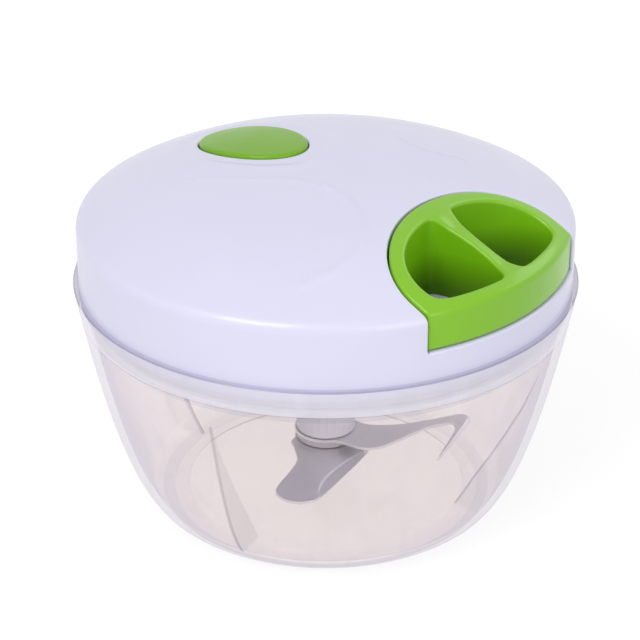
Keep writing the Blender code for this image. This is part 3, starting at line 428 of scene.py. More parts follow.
def add_floor(verts, faces, outer, holes, up):
    """A flat fill between lower loops."""
    def apart(numbers):
        clean = []
        for number in numbers:
            if not clean or math.dist(verts[number][:2], verts[clean[-1]][:2]) > SAME_SPOT:
                clean.append(number)
        return clean
    kept = [apart(outer)] + [apart(hole) for hole in holes]
    loops = [np.array([verts[n][:2] for n in group]) for group in kept]
    _, triangles = fill_triangles(loops, [])
    flat = [n for group in kept for n in group]
    for face in triangles:
        face = tuple(flat[i] for i in face)
        faces.append(face if up else tuple(reversed(face)))


def pocket_plan(end_grow, side_grow):
    """Half of the pocket's plan (y above zero), from its inner end straight out past the lid's edge."""
    half_length = POCKET_DEPTH + end_grow
    half_width = POCKET_HALF_WIDTH + side_grow
    back = []
    for i in range(61):
        turn = math.radians(180 - 1.5 * i)
        back.append((POCKET_CENTRE + half_length * math.cos(turn), half_width * math.sin(turn)))
    return back + [(POCKET_CENTRE + 0.5 * i, half_width) for i in range(1, 40)]


def notch_loop(skin, end_grow, side_grow, low, spacing):
    """Laid-out loop of the pocket or the handle: over the dome, down the wall and along its foot."""
    upper = pocket_plan(end_grow, side_grow)
    limit = skin.wall_radius
    over = [p for p in upper if math.hypot(*p) < limit - 0.01]
    last = over[-1]
    beyond = upper[len(over)]
    share = (limit - math.hypot(*last)) / (math.hypot(*beyond) - math.hypot(*last))
    corner = tuple(a + (b - a) * share for a, b in zip(last, beyond))
    corner_turn = math.degrees(math.atan2(corner[1], corner[0]))
    over_flat = [skin.lay(x, y) for x, y in over]
    low_way = skin.way_at_height(low)
    down = [polar(way, corner_turn) for way in np.arange(skin.wall_start, low_way, spacing)]
    half = over_flat + down
    arc_count = max(4, round(2 * corner_turn / 180 * math.pi * low_way / spacing))
    along = [polar(low_way, corner_turn - 2 * corner_turn * i / arc_count)
             for i in range(arc_count + 1)]
    mirrored = [(x, -y) for x, y in reversed(half)]
    loop = half + along + mirrored[:-1]
    return np.array(loop[::-1])


# Materials
def new_material(name):
    made = bpy.data.materials.new(name)
    made.use_nodes = True
    tree = made.node_tree
    return made, tree, tree.nodes["Principled BSDF"], tree.nodes["Material Output"]


def spread_value(tree, value, low, high, start=0.0, end=1.0):
    """A value mapped from start and end to low and high."""
    spread = tree.nodes.new("ShaderNodeMapRange")
    spread.inputs["From Min"].default_value = start
    spread.inputs["From Max"].default_value = end
    spread.inputs["To Min"].default_value = low
    spread.inputs["To Max"].default_value = high
    tree.links.new(value, spread.inputs["Value"])
    return spread.outputs["Result"]


def noise_between(tree, scale, low, high, detail=4.0):
    """A noise value mapped to a small range."""
    place = tree.nodes.new("ShaderNodeTexCoord")
    noise = tree.nodes.new("ShaderNodeTexNoise")
    noise.inputs["Scale"].default_value = scale
    noise.inputs["Detail"].default_value = detail
    tree.links.new(place.outputs["Object"], noise.inputs["Vector"])
    return spread_value(tree, noise.outputs["Fac"], low, high, 0.3, 0.7)


def stretched_noise(tree, stretch, detail, distortion=0.0):
    """Noise drawn out into lines or smears by a scale for each axis."""
    place = tree.nodes.new("ShaderNodeTexCoord")
    mapping = tree.nodes.new("ShaderNodeMapping")
    mapping.inputs["Scale"].default_value = stretch
    noise = tree.nodes.new("ShaderNodeTexNoise")
    noise.inputs["Scale"].default_value = 1.0
    noise.inputs["Detail"].default_value = detail
    noise.inputs["Distortion"].default_value = distortion
    tree.links.new(place.outputs["Object"], mapping.inputs["Vector"])
    tree.links.new(mapping.outputs["Vector"], noise.inputs["Vector"])
    return noise.outputs["Fac"]


def mixed(tree, share, first, second):
    """One shader blended into another by a share."""
    mix = tree.nodes.new("ShaderNodeMixShader")
    tree.links.new(share, mix.inputs["Fac"])
    tree.links.new(first, mix.inputs[1])
    tree.links.new(second, mix.inputs[2])
    return mix.outputs["Shader"]


def vary_colour(tree, shader, colour, other, scale):
    mix = tree.nodes.new("ShaderNodeMix")
    mix.data_type = "RGBA"
    mix.inputs["A"].default_value = (*colour, 1.0)
    mix.inputs["B"].default_value = (*other, 1.0)
    tree.links.new(noise_between(tree, scale, 0.0, 1.0), mix.inputs["Factor"])
    tree.links.new(mix.outputs["Result"], shader.inputs["Base Color"])


def add_bump(tree, shader, height, distance, strength):
    bump = tree.nodes.new("ShaderNodeBump")
    bump.inputs["Strength"].default_value = strength
    bump.inputs["Distance"].default_value = distance
    tree.links.new(height, bump.inputs["Height"])
    tree.links.new(bump.outputs["Normal"], shader.inputs["Normal"])


def add_grain(tree, shader, scale, depth):
    """The fine unevenness of a moulded skin, its depth in metres."""
    add_bump(tree, shader, noise_between(tree, scale, 0.0, 1.0, 3.0), depth, 0.3)


def plastic(name, colour, other, rough, grain=900.0, depth=0.00002, coat=0.0, shine=0.5):
    """Moulded plastic whose colour wanders between two near tones."""
    made, tree, shader, _ = new_material(name)
    vary_colour(tree, shader, colour, other, 35.0)
    tree.links.new(noise_between(tree, 120.0, rough - 0.03, rough + 0.05), shader.inputs["Roughness"])
    shader.inputs["Specular IOR Level"].default_value = shine
    shader.inputs["Coat Weight"].default_value = coat
    shader.inputs["Coat Roughness"].default_value = 0.08
    add_grain(tree, shader, grain, depth)
    return made


def darken_below(paint, low, high, share):
    """Painted shade: draws a paint's colour down to a share of itself between two heights."""
    tree = paint.node_tree
    shader = tree.nodes["Principled BSDF"]
    place = tree.nodes.new("ShaderNodeTexCoord")
    parts = tree.nodes.new("ShaderNodeSeparateXYZ")
    tree.links.new(place.outputs["Object"], parts.inputs["Vector"])
    depth = spread_value(tree, parts.outputs["Z"], share, 1.0, low * MM, high * MM)
    scale = tree.nodes.new("ShaderNodeVectorMath")
    scale.operation = "SCALE"
    tree.links.new(shader.inputs["Base Color"].links[0].from_socket, scale.inputs[0])
    tree.links.new(depth, scale.inputs["Scale"])
    tree.links.new(scale.outputs["Vector"], shader.inputs["Base Color"])


def brushed_steel(name, colour, rough):
    """Steel with fine grinding lines along one direction."""
    made, tree, shader, _ = new_material(name)
    lines = stretched_noise(tree, (60.0, 2500.0, 60.0), 5.0)
    tree.links.new(spread_value(tree, lines, rough - 0.08, rough + 0.14), shader.inputs["Roughness"])
    shader.inputs["Base Color"].default_value = (*colour, 1.0)
    shader.inputs["Metallic"].default_value = 1.0
    add_bump(tree, shader, lines, 0.00003, 0.25)
    return made


def see_through(tree, tint):
    clear = tree.nodes.new("ShaderNodeBsdfTransparent")
    clear.inputs["Color"].default_value = (*tint, 1.0)
    return clear.outputs["BSDF"]


def clear_plastic(name, tint, edge_tint, haze, shine=0.5, cloud=(0.66, 0.62, 0.74), bend=3.0):
    """Clear plastic: a tint that deepens where it is seen aslant, a cloudy bloom and its skin's shine."""
    made, tree, shader, output = new_material(name)
    facing = tree.nodes.new("ShaderNodeLayerWeight")
    facing.inputs["Blend"].default_value = 0.5
    slant = facing.outputs["Facing"]
    deepened = curved(tree, slant, bend, 0.0, 1.0)
    tinted = mixed(tree, deepened, see_through(tree, tint), see_through(tree, edge_tint))
    shader.inputs["Base Color"].default_value = (*cloud, 1.0)
    shader.inputs["Roughness"].default_value = 0.5
    cloudy = mixed(tree, streaks(tree, *haze), tinted, shader.outputs["BSDF"])
    gloss = tree.nodes.new("ShaderNodeBsdfGlossy")
    gloss.inputs["Color"].default_value = (0.95, 0.95, 1.0, 1.0)
    gloss.inputs["Roughness"].default_value = 0.07
    add_bump(tree, gloss, noise_between(tree, 25.0, 0.0, 1.0, 2.0), 0.0002, 0.15)
    shared = curved(tree, slant, 4.0, 0.06 * shine, shine)
    tree.links.new(mixed(tree, shared, cloudy, gloss.outputs["BSDF"]), output.inputs["Surface"])
    return made


def curved(tree, value, power, low, high):
    """A value from nought to one raised to a power and mapped to a range."""
    raised = tree.nodes.new("ShaderNodeMath")
    raised.operation = "POWER"
    tree.links.new(value, raised.inputs[0])
    raised.inputs[1].default_value = power
    return spread_value(tree, raised.outputs["Value"], low, high)


def streaks(tree, low, high):
    """Upright smears a few millimetres wide."""
    return spread_value(tree, stretched_noise(tree, (75.0, 75.0, 16.0), 3.0, 0.8), low, high, 0.48, 0.72)


def milky(name):
    """Plastic that light soaks into a little way."""
    made, tree, shader, _ = new_material(name)
    vary_colour(tree, shader, (0.85, 0.85, 0.90), (0.81, 0.81, 0.86), 60.0)
    shader.inputs["Roughness"].default_value = 0.35
    shader.inputs["Subsurface Weight"].default_value = 0.4
    shader.inputs["Subsurface Radius"].default_value = (0.004, 0.004, 0.004)
    add_grain(tree, shader, 400.0, 0.00002)
    return made


WHITE = plastic("lid white", (0.655, 0.65, 0.81), (0.64, 0.635, 0.795), 0.36, coat=0.30)
INNER_WHITE = plastic("inner white", (0.76, 0.76, 0.82), (0.72, 0.72, 0.80), 0.45)
GREEN = plastic("handle green", (0.21, 0.49, 0.010), (0.195, 0.465, 0.009), 0.3, coat=0.3, shine=0.3)
# The finger holes' walls: a darker copy of the handle green, with painted shade that deepens towards their
# foot
HOLE_SHADE_GREEN = plastic("hole green painted shade", (0.17, 0.44, 0.006), (0.155, 0.41, 0.005), 0.35, coat=0.1, shine=0.2)
darken_below(HOLE_SHADE_GREEN, HANDLE_BOTTOM + 2.0, HANDLE_BOTTOM + 11.0, 0.4)
BUTTON_GREEN = plastic("button green", (0.18, 0.40, 0.015), (0.165, 0.38, 0.013), 0.3, coat=0.1,
                       shine=0.2)
CLEAR = clear_plastic("bowl clear", (0.969, 0.946, 0.946), (0.84, 0.81, 0.85), (0.0, 0.06))
# Cloudy white on the collar band: painted light for the white lid parts reflected within the clear collar,
# which lies in the lid's shade
BAND = clear_plastic("collar painted light", (0.97, 0.96, 0.975), (0.88, 0.86, 0.90), (0.58, 0.64), 0.3,
                     (0.84, 0.82, 0.90))
THIN = clear_plastic("rib clear", (0.996, 0.994, 0.995), (0.985, 0.98, 0.985), (0.0, 0.0), 0.02)
# Painted shade for the ribs' edges: dark lines where the thin clear plates bend the light away
THIN_EDGE = clear_plastic("rib wall edge painted shade", (0.95, 0.94, 0.95), (0.50, 0.48, 0.53), (0.0, 0.0), 0.05, bend=1.5)
# Dark painted shade lines on the bowl: in the gap under the lid's edge at the rim, just under the collar
# band, and at the collar's inner corner, where the clear wall bends the light away
LINE = clear_plastic("rim painted shade line", (0.78, 0.77, 0.81), (0.68, 0.67, 0.72), (0.05, 0.1), 0.3)
RIB_LINE = clear_plastic("rib free edge painted shade", (0.84, 0.83, 0.87), (0.60, 0.58, 0.64), (0.0, 0.0), 0.05,
                         bend=1.5)
# The foot's rounded corner darkens steeply aslant: a painted shade line along the bottom of the bowl
SILL = clear_plastic("foot corner painted shade", (0.92, 0.90, 0.92), (0.38, 0.37, 0.42), (0.0, 0.02), 0.15)
FOOT = clear_plastic("foot clear", (0.955, 0.93, 0.93), (0.78, 0.76, 0.80), (0.0, 0.04), 0.2)
LEDGE = clear_plastic("ledge clear", (0.95, 0.94, 0.96), (0.86, 0.84, 0.90), (0.1, 0.2))
FLOOR = clear_plastic("floor clear", (0.975, 0.95, 0.94), (0.92, 0.89, 0.89), (0.0, 0.03), 0.3)
STEEL = brushed_steel("blade steel", (0.78, 0.77, 0.79), 0.5)
# A rougher, darker copy of the blade steel for the hub pieces: the darker tone is painted shade
HUB_STEEL = brushed_steel("hub steel with painted shade", (0.62, 0.61, 0.63), 0.6)
FASTENER = brushed_steel("fastener steel", (0.55, 0.55, 0.57), 0.3)
MILKY = milky("stem milky")
RUBBER = plastic("seal silicone", (0.66, 0.68, 0.72), (0.6, 0.62, 0.67), 0.6)
CORD = plastic("cord nylon", (0.78, 0.78, 0.76), (0.6, 0.6, 0.58), 0.75, 1400.0, 0.0002)
# Bright white paint for the line where the blade's grind meets its flat: a painted highlight
BEVEL_HIGHLIGHT = plastic("bevel painted highlight", (0.96, 0.95, 0.96), (0.90, 0.89, 0.90), 0.25, shine=1.0)

SLOT_PAINTS = {"clear_plastic": CLEAR, "white_shell": WHITE, "inner_white": INNER_WHITE,
               "green_gloss": GREEN, "milky_stem": MILKY, "blade_steel": STEEL,
               "fastener_steel": FASTENER, "seal_silicone": RUBBER, "cord_nylon": CORD}
DULL_SHADED_NODES = ("blade_spacer_lower", "stem_foot")


def paint_nodes():
    """Every CAD node that stays gets its slot's finish, or for the hub pieces a rougher steel whose darker
    tone is painted shade.
    """
    slots = {part["node"]: part["material_slot"] for part in frame["record"]["subparts"]}
    for name, node in frame["nodes"].items():
        paint = SLOT_PAINTS[slots[name]]
        for place in node.material_slots:
            place.material = HUB_STEEL if name in DULL_SHADED_NODES else paint


# Bowl
def bowl_radius(height):
    return FOOT_RADIUS + (RIM_RADIUS - FOOT_RADIUS) * (max(height, 0.0) / BOWL_HEIGHT) ** BOWL_CURVE


def foot_corner():
    """The rounded corner from the foot's flat ring up to the wall, as a curve drawn towards one point."""
    start = Vector((FOOT_RADIUS - FOOT_FACE_INSET, 0.0))
    end = Vector((bowl_radius(FOOT_CORNER), FOOT_CORNER))
    pull = start.lerp(end, 0.6) - Vector((0.0, FOOT_CORNER * 0.4))
    curve = []
    for i in range(13):
        t = i / 12
        curve.append(tuple(start * (1 - t) ** 2 + pull * 2 * t * (1 - t) + end * t ** 2))
    return curve


def make_bowl():
    """The bowl as one turned outline: under its floor, up the outside, over the rim and down inside."""
    ledge_top = BOWL_HEIGHT - COLLAR_DEPTH
    ledge_low = ledge_top - LEDGE_THICKNESS
    collar = bowl_radius(ledge_top) - COLLAR_WALL
    ledge = collar - LEDGE_WIDTH
    ring = FOOT_RADIUS - FOOT_RING_WIDTH
    corner = foot_corner()
    under = [(0.01, FOOT_RECESS), (ring - 0.3, FOOT_RECESS)]
    foot = [(ring, FOOT_RECESS - 0.2), (ring + 0.5, 0.2), (ring + 0.9, 0.0)]
    # The foot's corner, with its dark painted shade line
    sill = corner[:5]
    heights = [FOOT_CORNER + (BAND_LOW - 0.3 - FOOT_CORNER) * (i / 36) ** 1.7 for i in range(37)]
    outside = corner[5:-1] + [(bowl_radius(z), z) for z in heights]
    # A thin dark line of painted shade just under the collar band
    band_shade_line = [(bowl_radius(BAND_LOW - 0.25), BAND_LOW - 0.25)]
    # The collar band, painted cloudy white as painted light
    heights = np.linspace(BAND_LOW, BOWL_HEIGHT - 0.5, 9)
    band = [(bowl_radius(z), z) for z in heights]
    # The rim's outer edge carries a dark painted shade line where the lid's edge shades it
    rim = [(RIM_RADIUS - 0.03, BOWL_HEIGHT - 0.38), (RIM_RADIUS - 0.15, BOWL_HEIGHT - 0.15)]
    rim_top = [(RIM_RADIUS - 0.4, BOWL_HEIGHT - 0.01), (RIM_RADIUS - 0.7, BOWL_HEIGHT),
               (RIM_RADIUS - 1.2, BOWL_HEIGHT), (collar + 0.5, BOWL_HEIGHT)]
    inner_collar = [(collar + 0.15, BOWL_HEIGHT - 0.15), (collar, BOWL_HEIGHT - 0.5)]
    # The collar's inner corner carries a dark painted shade line
    corner_line = [(collar, ledge_top + 0.5), (collar - 0.1, ledge_top + 0.08)]
    shelf = [(collar - 0.5, ledge_top),
             (ledge + 0.3, ledge_top), (ledge + 0.08, ledge_top - 0.08), (ledge, ledge_top - 0.3),
             (ledge, ledge_low + 0.3), (ledge + 0.1, ledge_low + 0.05)]
    inner_low = FLOOR_TOP + 1.5
    inner = []
    for i in range(30, -1, -1):
        z = inner_low + (ledge_low - inner_low) * (i / 30) ** 2
        inner.append((bowl_radius(z) - BOWL_WALL, z))
    edge = inner[-1][0]
    turn_in = [(edge - 0.6, FLOOR_TOP + 0.6), (edge - 1.6, FLOOR_TOP + 0.15)]
    floor = [(edge - 3.0, FLOOR_TOP), (8.0, FLOOR_TOP), (5.4, FLOOR_TOP + 0.15),
             (5.0, FLOOR_TOP + 0.5), (5.0, FLOOR_TOP + 2.3), (4.7, FLOOR_TOP + 2.5),
             (2.5, FLOOR_TOP + 2.5), (2.3, FLOOR_TOP + 2.3), (2.3, FOOT_RECESS + 1.0),
             (0.01, FOOT_RECESS + 1.0)]
    runs = [(under, FLOOR), (foot, FOOT), (sill, SILL), (outside, CLEAR), (band_shade_line, LINE), (band, BAND),
            (rim, LINE), (rim_top, LEDGE), (inner_collar, CLEAR), (corner_line, LINE), (shelf, LEDGE),
            (inner, CLEAR), (turn_in, FLOOR), (floor, FLOOR)]
    outline = []
    paints = [CLEAR, FLOOR, FOOT, SILL, LEDGE, BAND, LINE]
    zones = []
    for run, paint in runs:
        outline += run
        zones += [paints.index(paint)] * len(run)
    verts, faces = turned(outline, BOWL_STEPS)
    make_object("bowl_clear", verts, faces, paints, "bowl_body", ["bowl"],
                zones=zones * BOWL_STEPS)
    for i in range(RIB_COUNT):
        make_rib(i)


def make_rib(number):
    """One thin plate from the wall to its sloping free edge.

    Two ribs have a strip of painted shade along the free edge, the other two painted shade along the edge at
    the wall."""
    top = BOWL_HEIGHT - COLLAR_DEPTH - LEDGE_THICKNESS - RIB_DROP
    foot = FOOT_RADIUS - RIB_FOOT_INSET
    low = FLOOR_TOP + 0.1
    heights = [low + (top - low) * (i / 14) ** 1.5 for i in range(15)]
    back = [(bowl_radius(z) - BOWL_WALL + 0.1, z) for z in heights]
    front = RIB_EDGE + [(foot, low)]
    inner = [(x + RIB_LINE_WIDTH, z) for x, z in front]
    half = RIB_THICKNESS / 2
    outline = back + front + inner
    verts = [(x, -half, z) for x, z in outline] + [(x, half, z) for x, z in outline]
    across = len(outline)
    first = len(back)
    second = first + len(front)
    plate, free_edge, wall_edge = range(3)
    faces = []
    zones = []
    for side in (0, across):
        faces.append(tuple(side + i for i in [*range(first), *range(second, across)]))
        faces.append((side + first - 1, side + first, side + second))
        zones += [plate, free_edge]
        for i in range(len(front) - 1):
            outer, strip = side + first + i, side + second + i
            faces.append((outer, outer + 1, strip + 1, strip))
            zones.append(free_edge)
    ring = [*range(second), across - 1]
    for here, after in zip(ring, ring[1:] + ring[:1]):
        faces.append((here, across + here, across + after, after))
        if 0 < after < second:
            zones.append(wall_edge if after < first else free_edge)
        else:
            zones.append(plate)
    paints = [THIN, THIN, THIN_EDGE] if number % 2 else [THIN, RIB_LINE, THIN]
    verts = about_axis(verts, RIB_ANGLE + 360 / RIB_COUNT * number)
    rib = make_object(f"bowl_rib_{number + 1}", verts, faces, paints, "bowl_body", (),
                      zones=zones)
    turn_faces_out(rib)


def turn_faces_out(piece):
    """Makes every face of a closed piece look outwards."""
    work = bmesh.new()
    work.from_mesh(piece.data)
    bmesh.ops.recalc_face_normals(work, faces=work.faces)
    work.to_mesh(piece.data)
    work.free()


# Lid
def line_distance(x, y, line):
    """Distance of plan points from an open line."""
    points = np.stack([x, y], 1)
    best = np.full(len(points), 1e9)
    for start, end in zip(line, line[1:]):
        start = np.array(start)
        along = np.array(end) - start
        share = np.clip(((points - start) @ along) / (along @ along), 0.0, 1.0)
        best = np.minimum(best, np.linalg.norm(points - start - share[:, None] * along, axis=1))
    return best


# Crests of the dome's shallow moulded swells, as plan points
SWELLS = [
    [(-21.0, -24.3), (-15.7, -22.6), (-6.6, -18.1), (0.3, -13.2), (6.6, -11.4), (11.5, -11.0), (16.5, -11.9),
     (21.9, -14.5), (27.0, -18.5), (30.6, -23.0), (32.2, -28.5), (31.6, -35.0), (28.6, -42.2)],
    [(0.8, 25.6), (4.5, 24.5), (7.7, 23.8), (13.5, 23.9), (17.0, 25.3), (21.0, 28.5)],
]
SWELL_HEIGHT = 0.48
SWELL_WIDTH = 0.75


def lid_relief(x, y):
    """Shallow moulded swells on the dome and the low ring round the button."""
    across = (x - BUTTON_CENTRE) / (BUTTON_LENGTH / 2)
    up = y / (BUTTON_WIDTH / 2)
    away = (np.hypot(across, up) - 1.0) * BUTTON_WIDTH / 2
    raised = -0.30 * np.exp(-((away - 2.3) / 1.1) ** 2) + 0.22 * np.exp(-((away - 4.8) / 1.0) ** 2)
    for line in SWELLS:
        raised = raised + SWELL_HEIGHT * np.exp(-(line_distance(x, y, line) / SWELL_WIDTH) ** 2)
    return raised


def make_lid_cover():
    skin = Skin(LID_RADIUS, SHOULDER_FILLET, 0.0, LID_BOTTOM)
    total = skin.way[-1]
    outer = np.array([polar(total, 360 * i / OUTLINE_STEPS) for i in range(OUTLINE_STEPS)])
    pocket = evened(notch_loop(skin, 0.0, 0.0, POCKET_FLOOR, NOTCH_SPACING), NOTCH_SPACING)
    well = []
    for i in range(WELL_STEPS):
        turn = math.tau * i / WELL_STEPS
        x = BUTTON_CENTRE + (BUTTON_LENGTH / 2 + BUTTON_GAP) * math.cos(turn)
        y = (BUTTON_WIDTH / 2 + BUTTON_GAP) * math.sin(turn)
        well.append(skin.lay(x, y))
    loops = [outer, pocket, np.array(well)]
    verts, faces, numbers = skin_mesh(skin, loops, LID_SPACING, LID_ROLL, lid_relief)
    lower = add_wall(verts, faces, numbers[1], POCKET_FLOOR, hollow=True)
    add_floor(verts, faces, lower, [], up=True)
    add_wall(verts, faces, numbers[2], BUTTON_BOTTOM, hollow=True)
    make_object("lid_dome", verts, faces, WHITE, "lid_body", ["lid_cover"])
    lip = [(LID_RADIUS - LID_ROLL, LID_BOTTOM), (LID_RADIUS - 1.5, LID_BOTTOM),
           (LID_RADIUS - LIP_WALL, LID_BOTTOM + 0.3), (LID_RADIUS - LIP_WALL, POCKET_FLOOR - 1.7)]
    verts, faces = turned(lip[::-1], BOWL_STEPS, closed=False)
    make_object("lid_lower_lip", verts, faces, WHITE, "lid_body", ())


# Handle
def web_half_width(x):
    """Half the width of the web between the finger holes, which flares at both ends."""
    inward = np.maximum(0.0, 48.5 - x) / 10.0
    outward = np.maximum(0.0, x - 50.0) / 6.4
    return 1.6 + 1.1 * inward ** 2 + 0.9 * outward ** 2


def finger_plan():
    """Plan of the finger hole on the left of the pull (y above zero).

    A soft maximum keeps it clear of the oval, the front wall and the web, and rounds its corners."""
    half_length = POCKET_DEPTH - HANDLE_GAP - HANDLE_END_RIM
    half_width = POCKET_HALF_WIDTH - HANDLE_SIDE_GAP - HANDLE_SIDE_RIM
    limit = LID_RADIUS - HANDLE_SETBACK - HANDLE_FACE_WALL
    reach = np.arange(0.5, 30.0, 0.02)
    plan = []
    for i in range(360):
        way = np.array(polar(1.0, i))
        x, y = (np.array(FINGER_CENTRE) + reach[:, None] * way).T
        share = np.abs((x - POCKET_CENTRE) / half_length) ** FINGER_FULLNESS
        share += np.abs(y / half_width) ** FINGER_FULLNESS
        oval = (share ** (1 / FINGER_FULLNESS) - 1) * half_length
        walls = np.stack([oval, np.hypot(x, y) - limit, web_half_width(x) - y])
        level = np.log(np.exp(walls / FINGER_SOFTNESS).sum(0))
        first = int(np.argmax(level > 0))
        plan.append((x[first], y[first]))
    return np.array(plan)


def handle_relief(x, y):
    """The web between the finger holes lies a little lower than the rim."""
    over = np.exp(-(y / 4.2) ** 2) * smoothstep(x, 35.5, 41.0) * (1 - smoothstep(x, 54.0, 58.5))
    return -WEB_DROP * over


def make_handle():
    """The grip: a skin over the notch, walls down to its foot, and finger holes that narrow downwards."""
    skin = Skin(LID_RADIUS - HANDLE_SETBACK, HANDLE_FILLET, HANDLE_PROUD, HANDLE_LOW)
    notch = notch_loop(skin, -HANDLE_GAP, -HANDLE_SIDE_GAP, HANDLE_LOW, HANDLE_LINE_SPACING)
    outer = evened(notch, HANDLE_LINE_SPACING)
    left = evened([skin.lay(x, y) for x, y in finger_plan()], HANDLE_LINE_SPACING)
    right = left * np.array([1.0, -1.0])
    loops = [outer, left, right]
    verts, faces, numbers = skin_mesh(skin, loops, HANDLE_SPACING, HANDLE_ROLL, handle_relief)
    low_outer = add_wall(verts, faces, numbers[0], HANDLE_LOW, hollow=False)
    zones = [0] * len(faces)
    holes = [add_wall(verts, faces, numbers[i], HANDLE_LOW, hollow=True) for i in (1, 2)]
    # The finger holes' walls take the darker green with painted shade
    zones += [1] * (len(faces) - len(zones))
    for hole, side in zip(holes, (1, -1)):
        middle = np.array([FINGER_CENTRE[0], side * FINGER_CENTRE[1]])
        for number in hole:
            way = np.array(verts[number][:2]) - middle
            x, y = middle + way * (1 - FINGER_DRAFT / np.hypot(*way))
            verts[number] = (x, y, HANDLE_LOW)
    add_floor(verts, faces, low_outer, holes, up=False)
    zones += [0] * (len(faces) - len(zones))
    handle = make_object("handle_grip", verts, faces, [GREEN, HOLE_SHADE_GREEN], "handle_body", ["pull_handle"],
                         zones=zones)
    turn_faces_out(handle)


# Button
def make_button():
    """The button's crowned oval cap and the wall down into its well."""
    skin = Skin(LID_RADIUS, SHOULDER_FILLET, BUTTON_PROUD - BUTTON_CROWN, LID_BOTTOM)
    loop = []
    for i in range(BUTTON_STEPS):
        turn = math.tau * i / BUTTON_STEPS
        x = BUTTON_CENTRE + BUTTON_LENGTH / 2 * math.cos(turn)
        loop.append(skin.lay(x, BUTTON_WIDTH / 2 * math.sin(turn)))
    def crown(x, y):
        away = np.hypot((x - BUTTON_CENTRE) / (BUTTON_LENGTH / 2), y / (BUTTON_WIDTH / 2))
        return BUTTON_CROWN * (1 - np.minimum(away, 1.0) ** 2)
    verts, faces, numbers = skin_mesh(skin, [np.array(loop)], BUTTON_SPACING, BUTTON_ROLL, crown)
    low = add_wall(verts, faces, numbers[0], BUTTON_BOTTOM, hollow=False)
    add_floor(verts, faces, low, [], up=False)
    make_object("button_cap", verts, faces, BUTTON_GREEN, "button_body", ["release_button"])


# Blades
BLADE_REACH = FOOT_RADIUS - RIB_FOOT_INSET
BLADE_TURN = 161.0
BLADE_EYE_RADIUS = 8.0
CORE_HOLE = 4.8
GRIND_WIDTH = 2.8
HOOK_GRIND_WIDTH = 0.9
GRIND_EDGE = 0.25
GRIND_FULLNESS = 0.7
BLADE_ROWS = 4
BLADE_STEP_TURN = 120.0
EYE_STEPS = 24
EYE_OVERLAP = 12


def smooth_line(points, per_span):
    """A Catmull-Rom curve through plan points."""
    line = []
    for i in range(len(points) - 1):
        before, start = np.array(points[max(i - 1, 0)]), np.array(points[i])
        end, after = np.array(points[i + 1]), np.array(points[min(i + 2, len(points) - 1)])
        square = 2 * before - 5 * start + 4 * end - after
        cube = 3 * start - before - 3 * end + after
        for t in np.arange(per_span) / per_span:
            line.append(0.5 * (2 * start + (end - before) * t + square * t ** 2 + cube * t ** 3))
    return line + [np.array(points[-1])]


def blade_line(hooked):
    """Plan of one blade lying along +X: the ground edge outwards, then the back edge home.

    The points are shares of the blade's reach."""
    if hooked:
        ground = [(0.15, 0.157), (0.23, 0.06), (0.32, 0.016), (0.51, 0.022), (0.75, 0.095),
                  (0.957, 0.165), (1.022, 0.108), (0.989, 0.0), (0.941, -0.1), (0.86, -0.27),
                  (0.754, -0.476)]
        hollow = [(0.754, -0.476), (0.815, -0.31), (0.87, -0.17), (0.905, -0.05), (0.887, 0.03),
                  (0.82, 0.01), (0.71, -0.035), (0.51, -0.195), (0.37, -0.3), (0.25, -0.31),
                  (0.12, -0.232)]
    else:
        ground = [(0.04, 0.362), (0.25, 0.371), (0.45, 0.37), (0.60, 0.37), (0.72, 0.367)]
        hollow = [(0.72, 0.367), (0.8, 0.345), (0.872, 0.25), (0.86, 0.13), (0.78, 0.06),
                  (0.55, 0.033), (0.4, 0.0), (0.29, -0.08), (0.2, -0.165)]
    return [smooth_line(np.array(side) * BLADE_REACH, BLADE_ROWS) for side in (ground, hollow)]


